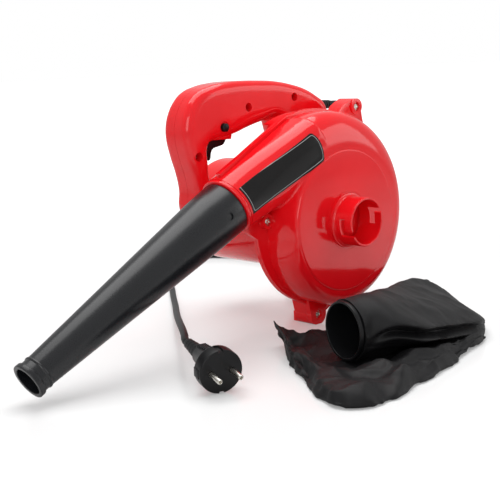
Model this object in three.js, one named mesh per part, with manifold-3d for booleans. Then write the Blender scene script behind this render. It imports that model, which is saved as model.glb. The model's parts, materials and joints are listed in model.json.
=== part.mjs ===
// Car dryer blower: a hand-held electric blower with a scroll fan casing, a motor and a D-handle behind
// it, a tapered push-on nozzle, a mains lead with a round two-pin plug, and a cloth dust bag beside it.
//
// Millimetres, +Z up. The fan turns about an axis along Y: the air inlet faces -Y, the motor lies to +Y
// and the nozzle points to -X and down. Sizes below are in the fan frame, whose origin is where the fan
// axis crosses the plane in which the two casing shells meet. The finished blower is then lifted so that
// the origin of the part is the middle of the flat sole on which the rear casing shell stands.

import * as THREE from 'three';
import { mergeVertices } from 'three/addons/utils/BufferGeometryUtils.js';
import Module from 'manifold-3d';

const wasm = await Module();
wasm.setup();

// ---------------------------------------------------------------- driving dimensions

const FIT = 0.3; // clearance between two pieces that touch
const SPLIT = 0.15; // half of the gap in a parting plane
const CUT = 1; // how far a cutting tool runs past the face it cuts

// Scroll casing
const AXIS_HEIGHT = 112; // fan axis above the floor
const WALL = 2.6; // moulded wall of both casing shells
const DISC_R = 72; // flat front disc
const FRONT_Y = -43; // outer face of the disc
const SHOULDER_Y = -20; // where the rounded front edge has become the side wall
const BACK_Y = 26; // outer face of the rear shell
const REAR_EDGE_Y = 4; // where the rear shell begins to narrow
const REAR_TAPER = 19; // how much it narrows down to its back, away from the outlet
const SCROLL_R0 = 76; // side wall at its smallest
const SCROLL_R1 = 112; // side wall where it runs out into the duct
const SCROLL_STEADY = 190; // degrees up to which the wall keeps its smallest radius
const SCROLL_FULLNESS = 0.72; // below 1, the scroll widens early
const FLANGE_R = 90; // smallest radius of the parting flange
const FLANGE_LIP = 3; // least width of the flange outside the wall
const FLANGE_T = 3; // thickness of each flange

// Push-on fittings: inlet collar and outlet spigot have the same outside, so nozzle and bag fit both
const SPIGOT_R = 24.7;
const SPIGOT_WALL = 2.4;
const SPIGOT_LENGTH = 30;
const COLLAR_LENGTH = 25;
const SOCKET_R = SPIGOT_R + FIT; // bore of what is pushed on
const SLOT_WIDTH = 6.4; // bayonet slot
const SLOT_DEPTH = 15;
const SLOT_TURN = 30; // degrees of the slot's cross leg
const SOCKET_FLANGE = 4;

// Nozzle
const NOZZLE_LENGTH = 256;
const NOZZLE_ROOT_R = SOCKET_R + 2.3;
const NOZZLE_TIP_R = 15.2;
const NOZZLE_WALL = 2.1;
const NOZZLE_SEAT = 34; // depth of its cylindrical socket
const PEG_R = 2.4;
const PEG_ANGLE = 80; // degrees about the duct axis, from the top towards the front

// Outlet duct, measured along its axis from the point nearest the fan axis
const DUCT_SLOPE = 27; // degrees below the horizontal
const DUCT_P = 81; // distance of the duct axis from the fan axis
const DUCT_HALF = 31; // half height, square to the axis
const DUCT_START = -12;
const DUCT_END = 98;
const MOUTH_R = NOZZLE_ROOT_R + 2.2; // round end of the duct, which stands proud of the nozzle
const TIP_BEAD = 1.5;

// Motor housing and handle
const SPLIT_Y = 52; // parting plane of the two housing halves
const HANDLE_T = 38; // thickness along Y
const HANDLE_ROUND = 8.5; // rounding of its edges
const SHELL = 2.8; // moulded wall of the handle and motor housing
const MOTOR_R = 57;
const MOTOR_END = 150;
const END_ROUND = 14;
const TRIGGER_W = 20;
const TRIGGER_TRAVEL = 6;
const BUTTON_R = 4.1;
const BUTTON_TRAVEL = 3;
const FOOT_X = 71;
const FOOT_Y = 83;
const FOOT_WIDTH = 18;

// Fan and motor
const IMPELLER_R = 62;
const IMPELLER_FRONT = -17;
const IMPELLER_BACK = 12;
const BLADES = 7;
const SHAFT_R = 4;
const SHAFT_BORE = 4.15; // bore of the pieces pressed on the shaft
const BEARING_R = 11;
const BEARING_W = 7;
const FRONT_BEARING_Y = 27.4;
const REAR_BEARING_Y = 130;
const ARMATURE_R = 24;
const AIR_GAP = 0.7;
const STATOR_R = 41;
const CORE_Y0 = 60;
const CORE_Y1 = 98;
const COIL_OUTER = 35; // outer radius of the field coils
const TURNS_DEPTH = 9; // overhang of the windings past the cores
const COMMUTATOR_R = 11;
const COMMUTATOR_Y0 = 114.5;
const COMMUTATOR_Y1 = 126.5;
const BRUSH_W = 6.4;
const BRUSH_H = 8;

// Casing screws, each in a lug: its angle about the fan axis, and how far it stands out from the scroll wall
const LUGS = {
  left: { angle: 175.4, out: 4.3, radius: 7.5, front: -9, back: 14 },
  bottom: { angle: 264.93, out: 12.2, radius: 11.5, front: -7, back: 17 },
  top_right: { angle: 421.6, out: 19.3, radius: 8.5, front: -7, back: 16 },
};
const SOLE_BACK = 25;
const SOLE_WIDTH = 9.4;
// Webs that carry the two outer lugs, from their screws
const TOP_WEB = [
  [-31, -15], [-24, -4], [-19, 1.5], [-11, 5.8], [0, 8.5], [8.3, 0], [11, -14], [15, -27], [-10, -27],
];
const BOTTOM_WEB = [[-15.5, 18], [-11.4, 2], [-10, -5.7], [10, -5.7], [11.4, 2], [24, 8], [14, 18]];

// Handle screws: [x, z] in the fan frame
const HANDLE_SCREWS = { front: [-129, 73], middle: [-60, 117], rear: [7, 124] };
const HEAD_R = 4;
const HEAD_T = 2.4;
const SHANK_R = 1.9;
const CASE_SCREW_DEPTH = 18;
const MOUNT_SCREW_R = 40; // circle of the screws between casing and motor housing

// Mains lead
const CORD_R = 3.6;
const GLAND_LENGTH = 27;
const PLUG_R = 19.5;
const PLUG_HEAD = 15; // depth of its round head
const PLUG_GRIP = 44; // from the face to the end of the grip
const PLUG_LENGTH = 73; // from the face to the end of the sleeve round the cord
const PLUG_PIN_R = 2.4;
const PLUG_PIN_LENGTH = 19;
const PLUG_PIN_SPACING = 19;

// Dust bag
const BAG_COLLAR_R = SOCKET_R + 2.4;
const BAG_COLLAR_LENGTH = 34;

// ---------------------------------------------------------------- materials

const plastic = (color, roughness) => new THREE.MeshStandardMaterial({ color, roughness, metalness: 0 });
const metal = (color, roughness) => new THREE.MeshStandardMaterial({ color, roughness, metalness: 1 });
const RED = plastic(0xe11520, 0.25);
const BLACK = plastic(0x2a2b2d, 0.4);
const LABEL = plastic(0x232122, 0.35);
const RUBBER = plastic(0x1c1c1e, 0.6);
const FABRIC = plastic(0x1a1a1b, 0.95);
const NICKEL = metal(0xc9c4b8, 0.3);
const STEEL = metal(0x9a9a9a, 0.35);
const COPPER = metal(0xb66a3c, 0.4);
const BRASS = metal(0xb99a55, 0.35);
const CARBON = plastic(0x303030, 0.8);
const GREY = plastic(0x5a5c60, 0.5);

// ---------------------------------------------------------------- geometry helpers

const rad = THREE.MathUtils.degToRad;
const polar = (radius, degrees) => [radius * Math.cos(rad(degrees)), radius * Math.sin(rad(degrees))];

// A closed geometry as a solid that can be joined and cut. Flat triangles go, and faces are turned outwards.
function solid(geometry) {
  for (const name of Object.keys(geometry.attributes)) {
    if (name !== 'position') geometry.deleteAttribute(name);
  }
  const merged = mergeVertices(geometry, 1e-4);
  const points = new Float32Array(merged.attributes.position.array);
  const index = merged.index.array;
  const corner = (i) => new THREE.Vector3(points[3 * i], points[3 * i + 1], points[3 * i + 2]);
  const faces = [];
  let volume = 0;
  for (let i = 0; i < index.length; i += 3) {
    const [a, b, c] = [index[i], index[i + 1], index[i + 2]];
    if (a === b || b === c || a === c) continue;
    faces.push([a, b, c]);
    volume += corner(a).dot(corner(b).cross(corner(c)));
  }
  const turned = volume < 0 ? faces.map(([a, b, c]) => [a, c, b]) : faces;
  const triVerts = new Uint32Array(turned.flat());
  return new wasm.Manifold(new wasm.Mesh({ numProp: 3, vertProperties: points, triVerts }));
}

const join = (...bodies) => bodies.reduce((all, body) => all.add(body));
const cut = (body, ...tools) => tools.reduce((left, tool) => left.subtract(tool), body);

function mesh(name, body, material) {
  const { vertProperties, triVerts } = body.getMesh();
  const geometry = new THREE.BufferGeometry();
  geometry.setAttribute('position', new THREE.BufferAttribute(new Float32Array(vertProperties), 3));
  geometry.setIndex(new THREE.BufferAttribute(new Uint32Array(triVerts), 1));
  geometry.computeVertexNormals();
  const made = new THREE.Mesh(geometry, material);
  made.name = name;
  return made;
}

// A plate whose outline lies in XZ, from y0 to y1, with its edges rounded by bevel and drawn in by inset.
function plate(outline, y0, y1, { holes = [], bevel = 0, inset = 0, rounds = 1 } = {}) {
  const shape = new THREE.Shape(outline.map(([x, z]) => new THREE.Vector2(x, z)));
  shape.holes = holes.map((hole) => new THREE.Path(hole.map(([x, z]) => new THREE.Vector2(x, z))));
  const geometry = new THREE.ExtrudeGeometry(shape, {
    depth: y1 - y0 - 2 * bevel,
    bevelEnabled: bevel + inset > 0,
    bevelThickness: bevel,
    bevelSize: bevel,
    bevelOffset: -bevel - inset,
    bevelSegments: rounds,
    curveSegments: 1,
  });
  geometry.rotateX(Math.PI / 2);
  geometry.translate(0, y1 - bevel, 0);
  return solid(geometry);
}

// A round bar along Y.
function bar(x, z, radius, y0, y1, sides = 16) {
  const geometry = new THREE.CylinderGeometry(radius, radius, y1 - y0, sides);
  geometry.translate(x, (y0 + y1) / 2, z);
  return solid(geometry);
}

// A round bar along X.
function barX(y, z, radius, x0, x1, sides = 20) {
  const geometry = new THREE.CylinderGeometry(radius, radius, x1 - x0, sides);
  geometry.rotateZ(Math.PI / 2);
  geometry.translate((x0 + x1) / 2, y, z);
  return solid(geometry);
}

function block(x0, x1, y0, y1, z0, z1) {
  const geometry = new THREE.BoxGeometry(x1 - x0, y1 - y0, z1 - z0);
  geometry.translate((x0 + x1) / 2, (y0 + y1) / 2, (z0 + z1) / 2);
  return solid(geometry);
}

// A body turned about Y from a closed profile of [radius, y] points.
function turned(profile, sides = 48) {
  const closed = profile[0][0] > 0 ? [...profile, profile[0]] : profile;
  return solid(new THREE.LatheGeometry(closed.map(([r, y]) => new THREE.Vector2(r, y)), sides));
}

const ring = (outer, inner, y0, y1, sides = 40) =>
  turned([[inner, y0], [outer, y0], [outer, y1], [inner, y1]], sides);

// A sector of a ring about Y, between two angles in the XZ plane.
function sector(outer, inner, from, to, y0, y1, steps = 4) {
  const outline = [];
  for (let i = 0; i <= steps; i += 1) outline.push(polar(outer, from + ((to - from) * i) / steps));
  for (let i = steps; i >= 0; i -= 1) outline.push(polar(inner, from + ((to - from) * i) / steps));
  return plate(outline, y0, y1);
}

// A smooth closed outline through the given points.
function smooth(points, count) {
  const curve = new THREE.CatmullRomCurve3(
    points.map(([x, z]) => new THREE.Vector3(x, z, 0)), true, 'centripetal');
  return curve.getPoints(count).slice(0, count).map((p) => [p.x, p.y]);
}

// A round tube along a route: route is a curve, sides its facets.
function tube(curve, radius, steps, sides = 10) {
  const circle = Array.from({ length: sides }, (_, i) => {
    const [x, y] = polar(radius, (360 * i) / sides);
    return new THREE.Vector2(x, y);
  });
  const settings = { steps, extrudePath: curve, curveSegments: 1 };
  return solid(new THREE.ExtrudeGeometry(new THREE.Shape(circle), settings));
}

// A loft through rings of points, closed at both ends.
function loft(rings) {
  const sides = rings[0].length;
  const points = rings.flat(2);
  const index = [];
  for (let r = 0; r + 1 < rings.length; r += 1) {
    for (let i = 0; i < sides; i += 1) {
      const a = r * sides + i;
      const b = r * sides + ((i + 1) % sides);
      index.push(a, b, b + sides, a, b + sides, a + sides);
    }
  }
  const last = (rings.length - 1) * sides;
  for (let i = 1; i + 1 < sides; i += 1) {
    index.push(0, i + 1, i);
    index.push(last, last + i, last + i + 1);
  }
  const geometry = new THREE.BufferGeometry();
  geometry.setAttribute('position', new THREE.BufferAttribute(new Float32Array(points), 3));
  geometry.setIndex(index);
  return solid(geometry);
}

// A ring of points of a rounded rectangle, half sizes a and b, the higher power the squarer.
function squircle(a, b, power, count, place) {
  return Array.from({ length: count }, (_, i) => {
    const t = (2 * Math.PI * i) / count;
    const bend = (v) => Math.sign(v) * Math.abs(v) ** (2 / power);
    return place(a * bend(Math.cos(t)), b * bend(Math.sin(t)));
  });
}

// ---------------------------------------------------------------- frames of the duct

const DUCT_DIR = [-Math.cos(rad(DUCT_SLOPE)), -Math.sin(rad(DUCT_SLOPE))];
const DUCT_OUT = [-Math.sin(rad(DUCT_SLOPE)), Math.cos(rad(DUCT_SLOPE))];
const SCROLL_ANGLE = 90 + DUCT_SLOPE; // where the scroll wall runs tangentially into the duct

// A point of the duct's frame in XZ: s along the duct, p out from the fan axis.
const ductPoint = (s, p) => [s * DUCT_DIR[0] + p * DUCT_OUT[0], s * DUCT_DIR[1] + p * DUCT_OUT[1]];

// A body turned about +Y, moved so that its axis is the duct's axis and y = 0 is where s = 0.
function alongDuct(body) {
  const [dx, dz] = DUCT_DIR;
  const [nx, nz] = DUCT_OUT;
  const basis = new THREE.Matrix4().makeBasis(
    new THREE.Vector3(nx, 0, nz), new THREE.Vector3(dx, 0, dz), new THREE.Vector3(0, -1, 0));
  basis.setPosition(DUCT_P * nx, 0, DUCT_P * nz);
  return body.transform(basis.elements);
}

// ---------------------------------------------------------------- scroll casing

// Radius of the casing's side wall, with the angle counted on from the outlet in the way the air goes round.
function scrollRadius(degrees) {
  const share = Math.max(0, (degrees - SCROLL_STEADY) / (SCROLL_ANGLE + 360 - SCROLL_STEADY));
  return SCROLL_R0 + (SCROLL_R1 - SCROLL_R0) * share ** SCROLL_FULLNESS;
}

// How much the side wall has narrowed at y, behind the parting plane: fully from the lug on the left to the
// bottom, and less towards the outlet.
function rearTaper(degrees, y) {
  const share = THREE.MathUtils.smoothstep(degrees, 300, 450);
  return (REAR_TAPER * (1 - share) * (y - REAR_EDGE_Y)) / (BACK_Y - REAR_EDGE_Y);
}

// The filled scroll, drawn in by inset, with a rounded front edge and a flat back at backY.
function scrollBody(inset, backY, steps = inset > 0 ? 20 : 36) {
  const front = FRONT_Y + inset;
  const disc = DISC_R - inset;
  const seam = SCROLL_ANGLE - 0.5 * inset; // inside the duct, and nowhere in line with that of another inset
  const arcs = inset > 0 ? 2 : 4;
  const rings = [];
  for (let i = 0; i <= steps; i += 1) {
    const degrees = seam + (360 * i) / steps;
    const wall = scrollRadius(degrees) - inset;
    const profile = [[0, front]];
    for (let k = 0; k <= arcs; k += 1) {
      const t = (Math.PI / 2) * (k / arcs);
      const r = disc + (wall - disc) * Math.sin(t) ** 0.8;
      profile.push([r, front + (SHOULDER_Y - front) * (1 - Math.cos(t))]);
    }
    if (backY > REAR_EDGE_Y) {
      profile.push([wall, REAR_EDGE_Y], [wall - rearTaper(degrees, backY), backY], [0, backY]);
    } else {
      profile.push([wall, backY], [0, backY]);
    }
    rings.push(profile.map(([r, y]) => {
      const [x, z] = polar(r, degrees);
      return [x, y, z];
    }));
  }
  const size = rings[0].length;
  const index = [];
  for (let i = 0; i <= steps; i += 1) {
    const here = i * size;
    const next = ((i + 1) % (steps + 1)) * size;
    for (let k = 0; k + 1 < size; k += 1) {
      index.push(here + k, next + k, next + k + 1, here + k, next + k + 1, here + k + 1);
    }
  }
  const geometry = new THREE.BufferGeometry();
  geometry.setAttribute('position', new THREE.BufferAttribute(new Float32Array(rings.flat(2)), 3));
  geometry.setIndex(index);
  return solid(geometry);
}

// The filled duct, from a rounded rectangle at the scroll to a round mouth.
function ductBody(inset, end = DUCT_END) {
  const rows = inset > 0 ? 3 : 6;
  const start = DUCT_START + inset;
  const rings = [];
  for (let i = 0; i < rows; i += 1) {
    const share = i / (rows - 1);
    const s = start + (end - start) * share;
    const ease = share * share * (3 - 2 * share);
    const mix = (a, b) => a + (b - a) * ease;
    const y0 = mix(FRONT_Y + 1, -MOUTH_R) + inset;
    const y1 = mix(BACK_Y - 1, MOUTH_R) - inset;
    const half = mix(DUCT_HALF, MOUTH_R) - inset;
    rings.push(squircle((y1 - y0) / 2, half, mix(3.2, 2), inset > 0 ? 12 : 22, (v, u) => {
      const [x, z] = ductPoint(s, DUCT_P + u);
      return [x, (y0 + y1) / 2 + v, z];
    }));
  }
  return loft(rings);
}

// Outline of the parting flange, with the web that fills the corner below the duct.
function flangeOutline(steps = 36) {
  const outline = [];
  for (let i = 0; i <= steps; i += 1) {
    const degrees = SCROLL_ANGLE + (360 * i) / steps;
    outline.push(polar(Math.max(FLANGE_R, scrollRadius(degrees) + FLANGE_LIP), degrees));
  }
  return outline;
}

const DUCT_FLANGE_END = DUCT_END - 4;
const ductFlange = [
  ductPoint(DUCT_START, DUCT_P - DUCT_HALF - 4),
  ductPoint(DUCT_START, DUCT_P + DUCT_HALF + FLANGE_LIP),
  ductPoint(DUCT_FLANGE_END, DUCT_P + DUCT_HALF + FLANGE_LIP - 1),
  ductPoint(DUCT_FLANGE_END, DUCT_P - DUCT_HALF - 2),
];
const cornerWeb = [
  [-88, -12],
  ductPoint(DUCT_FLANGE_END, DUCT_P - DUCT_HALF - 2),
  ductPoint(30, DUCT_P - DUCT_HALF),
];

function casingOuter(backY) {
  return join(scrollBody(0, backY), ductBody(0));
}

function casingInner(backY) {
  return join(scrollBody(WALL, backY), ductBody(WALL, DUCT_END + CUT));
}

const flange = (y0, y1) =>
  join(plate(flangeOutline(), y0, y1), plate(ductFlange, y0, y1), plate(cornerWeb, y0, y1));

const everywhere = 600;
const frontHalf = block(-everywhere, everywhere, -everywhere, -SPLIT, -everywhere, everywhere);
const rearHalf = block(-everywhere, everywhere, SPLIT, everywhere, -everywhere, everywhere);
const aboveFloor = block(-everywhere, everywhere, -everywhere, everywhere, -AXIS_HEIGHT, everywhere);

// An L-shaped bayonet slot through a round wall about Y: in from the rim, then round.
function bayonetSlot(angle, turn, rim, depth, outer) {
  const half = (SLOT_WIDTH / 2 / SPIGOT_R) * (180 / Math.PI);
  const inner = SPIGOT_R - SPIGOT_WALL - CUT;
  const way = Math.sign(depth);
  const ends = (a, b) => [Math.min(a, b), Math.max(a, b)];
  const [a0, a1] = ends(rim - way * CUT, rim + depth);
  const [b0, b1] = ends(rim + depth, rim + depth - way * SLOT_WIDTH);
  const [t0, t1] = ends(angle - Math.sign(turn) * half, angle + turn + Math.sign(turn) * half);
  return join(
    sector(outer, inner, angle - half, angle + half, a0, a1),
    sector(outer, inner, t0, t1, b0, b1),
  );
}

const SEAT = 2.8; // depth of a screw head's seat below the lug's face
const BOSS_R = 6; // post round a screw, inside the casing or the handle

// Each lug with the name and the [x, z] place of its screw.
const lugs = Object.entries(LUGS).map(([name, lug]) =>
  ({ name, spot: polar(scrollRadius(lug.angle) + lug.out, lug.angle), ...lug }));
const lugNamed = (name) => lugs.find((lug) => lug.name === name);
const SOLE_X = lugNamed('bottom').spot[0];

// The outside of all lugs, each from front(lug) to back(lug), with their webs. The bottom one reaches the
// floor on a leg that ends at legBack.
function lugBodies(front, back, legBack) {
  const posts = lugs.map((lug) => bar(...lug.spot, lug.radius, front(lug), back(lug), 14));
  const bottom = lugNamed('bottom');
  const [x0, x1] = [SOLE_X - SOLE_WIDTH / 2, SOLE_X + SOLE_WIDTH / 2];
  const leg = block(x0, x1, front(bottom), legBack, -AXIS_HEIGHT - CUT, bottom.spot[1]);
  const carried = [[lugNamed('top_right'), TOP_WEB, 2], [bottom, BOTTOM_WEB, 0]];
  const webs = carried.map(([lug, outline, setBack]) => {
    const [x, z] = lug.spot;
    const [y0, y1] = [Math.min(front(lug) + setBack, 0), Math.max(back(lug) - setBack, 0)];
    return plate(outline.map(([dx, dz]) => [x + dx, z + dz]), y0, y1);
  });
  return join(...posts, leg, ...webs);
}

// The casing's hollow without the posts round its screws.
function hollowAround(hollow, front, back) {
  const posts = lugs.map((lug) => bar(...lug.spot, Math.min(lug.radius, BOSS_R), front(lug), back(lug), 14));
  return cut(hollow, ...posts);
}

const split = () => 0;
const lugFace = (lug) => lug.front;
const lugBack = (lug) => lug.back;

// The round seat in the duct's mouth for the outlet socket.
const mouthSeat = () => alongDuct(bar(0, 0, MOUTH_R - 2, DUCT_END - 9, DUCT_END + CUT, 24));

function frontCover() {
  const rim = FRONT_Y - COLLAR_LENGTH;
  const collar = join(
    bar(0, 0, SPIGOT_R, rim, FRONT_Y + 1, 24),
    bar(0, 0, SPIGOT_R + 5, FRONT_Y - 2, FRONT_Y + 1, 24),
  );
  const body = join(casingOuter(0), flange(-FLANGE_T, 0), collar, lugBodies(lugFace, split, 0));
  const seats = lugs.map(({ spot, front }) => bar(...spot, HEAD_R + 0.5, front - CUT, front + SEAT, 12));
  const holes = lugs.map(({ spot, front }) => bar(...spot, SHANK_R + FIT, front, 1, 8));
  const slots = [205, 25].map((angle) =>
    bayonetSlot(angle, -SLOT_TURN, rim, SLOT_DEPTH, SPIGOT_R + CUT));
  const inside = hollowAround(casingInner(1), lugFace, split);
  const bore = bar(0, 0, SPIGOT_R - SPIGOT_WALL, rim - CUT, FRONT_Y + WALL + CUT, 24);
  return cut(body, inside, bore, mouthSeat(), ...slots, ...seats, ...holes)
    .intersect(frontHalf).intersect(aboveFloor);
}

const mountScrewSpots = [45, 135, 225, 315].map((angle) => polar(MOUNT_SCREW_R, angle));

function rearShell() {
  const neck = bar(0, 0, BEARING_R + 4, BACK_Y - 1, FRONT_BEARING_Y + BEARING_W + 1, 20);
  const body = join(casingOuter(BACK_Y), flange(0, FLANGE_T), neck, lugBodies(split, lugBack, SOLE_BACK));
  const inside = hollowAround(casingInner(BACK_Y - WALL), split, lugBack);
  const pilots = lugs.map(({ spot, front }) =>
    bar(...spot, SHANK_R + FIT, -1, front + SEAT + CASE_SCREW_DEPTH + 1, 8));
  const through = mountScrewSpots.map((spot) =>
    bar(...spot, SHANK_R + FIT, BACK_Y - WALL - 1, BACK_Y + 1, 8));
  const seat = bar(0, 0, BEARING_R + FIT, FRONT_BEARING_Y - FIT, BACK_Y + 30, 20);
  const shaftHole = bar(0, 0, SHAFT_R + 3, 0, BACK_Y + 30);
  return cut(body, inside, mouthSeat(), seat, shaftHole, ...pilots, ...through)
    .intersect(rearHalf).intersect(aboveFloor);
}

// Ring held in the duct's mouth: a collar inside, a flange against the mouth and the spigot in front.
function outletSocket() {
  const inner = SPIGOT_R - SPIGOT_WALL;
  const face = DUCT_END + FIT;
  const end = face + SOCKET_FLANGE + SPIGOT_LENGTH;
  const body = turned([
    [inner, DUCT_END - 8], [MOUTH_R - 2 - FIT, DUCT_END - 8], [MOUTH_R - 2 - FIT, face],
    [MOUTH_R, face], [MOUTH_R, face + SOCKET_FLANGE - 1.2], [MOUTH_R - 1.2, face + SOCKET_FLANGE],
    [SPIGOT_R, face + SOCKET_FLANGE], [SPIGOT_R, end], [inner, end],
  ], 24);
  const slots = [0, 180].map((offset) =>
    bayonetSlot(PEG_ANGLE + offset - SLOT_TURN, SLOT_TURN, end, -SLOT_DEPTH, SPIGOT_R + CUT));
  return alongDuct(cut(body, ...slots));
}

const NOZZLE_START = DUCT_END + FIT + SOCKET_FLANGE + FIT;
const PEG_S = DUCT_END + FIT + SOCKET_FLANGE + SPIGOT_LENGTH - SLOT_DEPTH + SLOT_WIDTH / 2;

function nozzle() {
  const end = NOZZLE_START + NOZZLE_LENGTH;
  const seat = SOCKET_R;
  const neck = NOZZLE_START + NOZZLE_SEAT;
  const tip = NOZZLE_TIP_R;
  const profile = [
    [seat, NOZZLE_START], [NOZZLE_ROOT_R - 1, NOZZLE_START], [NOZZLE_ROOT_R, NOZZLE_START + 1],
    [NOZZLE_ROOT_R - 0.6, NOZZLE_START + 30], [tip, end - 14], [tip + TIP_BEAD * 0.6, end - 12.5],
    [tip, end - 11], [tip, end - 6], [tip + TIP_BEAD, end - 5], [tip + TIP_BEAD, end],
    [tip - NOZZLE_WALL, end], [tip - NOZZLE_WALL, end - 14],
    [SPIGOT_R - SPIGOT_WALL, neck + 3], [seat, neck],
  ];
  const pegs = [0, 180].map((offset) => {
    const inner = SPIGOT_R - SPIGOT_WALL + 0.4;
    const length = seat + 1 - inner;
    const geometry = new THREE.CylinderGeometry(PEG_R, PEG_R, length, 12);
    geometry.rotateZ(Math.PI / 2);
    geometry.translate(inner + length / 2, PEG_S, 0);
    geometry.rotateY(-rad(PEG_ANGLE + offset));
    return solid(geometry);
  });
  const dimple = new THREE.CylinderGeometry(PEG_R + 0.8, PEG_R + 0.8, 2, 16);
  dimple.rotateZ(Math.PI / 2);
  dimple.translate(NOZZLE_ROOT_R + 0.1, PEG_S, 0);
  dimple.rotateY(-rad(PEG_ANGLE));
  return alongDuct(cut(join(turned(profile, 24), ...pegs), solid(dimple)));
}

// Thin sticker on the front of the duct, left blank, with one rounded end.
function label() {
  const [s0, s1, p0, p1] = [-4, 96, 72, 103];
  const outline = [ductPoint(s1, p0), ductPoint(s1 + 1, p1), ductPoint(s0 + 8, p1)];
  for (let i = 0; i <= 6; i += 1) {
    const share = i / 6;
    outline.push(ductPoint(s0 + 4 - 5 * Math.sin(Math.PI * share) + 5 * share, p1 - (p1 - p0) * share));
  }
  const skin = cut(join(ductBody(-0.9), scrollBody(-0.9, 0)), ductBody(-FIT), scrollBody(-FIT, 1));
  const pieces = skin.intersect(plate(outline, -60, -8)).decompose();
  return pieces.sort((a, b) => b.volume() - a.volume())[0];
}

// ---------------------------------------------------------------- housing and handle

const handleOutline = smooth([
  [-131, 22], [-130, 37.5], [-133, 54], [-139, 73], [-143, 91], [-142.5, 104], [-138.5, 116],
  [-131, 127], [-121, 135], [-105, 140.2], [-86.6, 142.8], [-60, 143.6], [-38.6, 143], [-16.6, 141.6],
  [10.4, 137], [30, 131.5], [46, 124], [58, 116], [62, 106], [60, 92], [56, 66], [48, 24],
  [30, 2], [-30, -6], [-80, -8], [-108, -5], [-124, 6],
], 38);
const fingerHole = smooth([
  [-112, 84], [-114, 66], [-111, 46], [-99, 36], [-78, 38], [-56, 50], [-34, 60], [-16, 66], [-8, 76],
  [-9, 92], [-16, 104.5], [-36, 101.5], [-58, 96.5], [-74, 92], [-92, 88.5], [-106, 86.5],
], 26);

const handleY = [SPLIT_Y - HANDLE_T / 2, SPLIT_Y + HANDLE_T / 2];

function handleBody(inset) {
  const bevel = HANDLE_ROUND - inset;
  const rounds = inset > 0 ? 1 : 2;
  const edges = { holes: [fingerHole], bevel, inset, rounds };
  return plate(handleOutline, handleY[0] + inset, handleY[1] - inset, edges);
}

const MOTOR_START = BACK_Y + FIT;

function motorBody(inset) {
  const r = MOTOR_R - inset;
  const end = MOTOR_END - inset;
  const round = END_ROUND - inset;
  const profile = [[0, MOTOR_START + inset], [r, MOTOR_START + inset], [r, end - round]];
  const rounds = inset > 0 ? 2 : 4;
  for (let k = 1; k <= rounds; k += 1) {
    const t = (Math.PI / 2) * (k / rounds);
    profile.push([r - round * (1 - Math.cos(t)), end - round + round * Math.sin(t)]);
  }
  profile.push([0, end]);
  return turned(profile, inset > 0 ? 22 : 36);
}

const slotHalf = TRIGGER_W / 2 + 0.4;
const triggerSlot = block(-111.7, -83.5, SPLIT_Y - slotHalf, SPLIT_Y + slotHalf, 78, 99);
const BUTTON_SPOT = [-94, 99];
const GLAND_Z = 112.5;
const GLAND_X = 57; // inner face of the gland's collar
const glandHole = join(
  barX(SPLIT_Y, GLAND_Z, 4.6 + FIT, GLAND_X - 6, GLAND_X + 20),
  barX(SPLIT_Y, GLAND_Z, 6.6 + FIT, GLAND_X - 2 - FIT, GLAND_X + FIT),
);
const HANDLE_SEAT = SPLIT_Y - 4; // plane on which the handle screws' heads sit

const halves = {
  front: block(-everywhere, everywhere, -everywhere, SPLIT_Y - SPLIT, -everywhere, everywhere),
  rear: block(-everywhere, everywhere, SPLIT_Y + SPLIT, everywhere, -everywhere, everywhere),
};

function housingShell() {
  const outer = join(handleBody(0), motorBody(0));
  return { outer, inner: join(handleBody(SHELL), motorBody(SHELL)) };
}

const shell = housingShell();

function housingFront() {
  const screwSpots = Object.values(HANDLE_SCREWS);
  const bosses = screwSpots.map((spot) => bar(...spot, BOSS_R, handleY[0] + 1, SPLIT_Y, 10));
  const motorBosses = mountScrewSpots.map((spot) => bar(...spot, BOSS_R, MOTOR_START, MOTOR_START + 19, 10));
  const wells = screwSpots.map((spot) => bar(...spot, HEAD_R + 0.4, 0, HANDLE_SEAT, 12));
  const holes = screwSpots.map((spot) => bar(...spot, SHANK_R + FIT, 0, SPLIT_Y + 1, 8));
  const pilots = mountScrewSpots.map((spot) =>
    bar(...spot, SHANK_R + FIT, MOTOR_START - 1, MOTOR_START + 17, 8));
  const neck = bar(0, 0, BEARING_R + 4 + 1, MOTOR_START - 1, MOTOR_START + 12, 20);
  const buttonHole = bar(...BUTTON_SPOT, BUTTON_R + FIT, 0, SPLIT_Y - 4, 14);
  const buttonPocket = bar(...BUTTON_SPOT, BUTTON_R + 1.3 + FIT, handleY[0] + SHELL, SPLIT_Y - 4, 14);
  const sink = bar(...BUTTON_SPOT, BUTTON_R + 2, 0, handleY[0] + 1.2, 14);
  const inside = cut(shell.inner, ...bosses, ...motorBosses);
  const control = [triggerSlot, buttonHole, buttonPocket, sink, glandHole];
  return cut(shell.outer, inside, neck, ...control, ...wells, ...holes, ...pilots).intersect(halves.front);
}

// Slots in the motor housing: two groups round the side near its end, and a fan of slots in the end wall.
function vents() {
  const slots = [];
  for (const middle of [0, 180]) {
    for (let i = -1; i <= 1; i += 1) {
      const geometry = new THREE.BoxGeometry(12, 18, 3.4);
      geometry.translate(MOTOR_R, MOTOR_END - END_ROUND - 14, 0);
      geometry.rotateY(-rad(middle + 12 * i));
      slots.push(solid(geometry));
    }
  }
  for (let i = 0; i < 6; i += 1) {
    const geometry = new THREE.BoxGeometry(15, 12, 4);
    geometry.translate(30, MOTOR_END, 0);
    geometry.rotateY(-rad(60 * i));
    slots.push(solid(geometry));
  }
  return slots;
}

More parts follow.
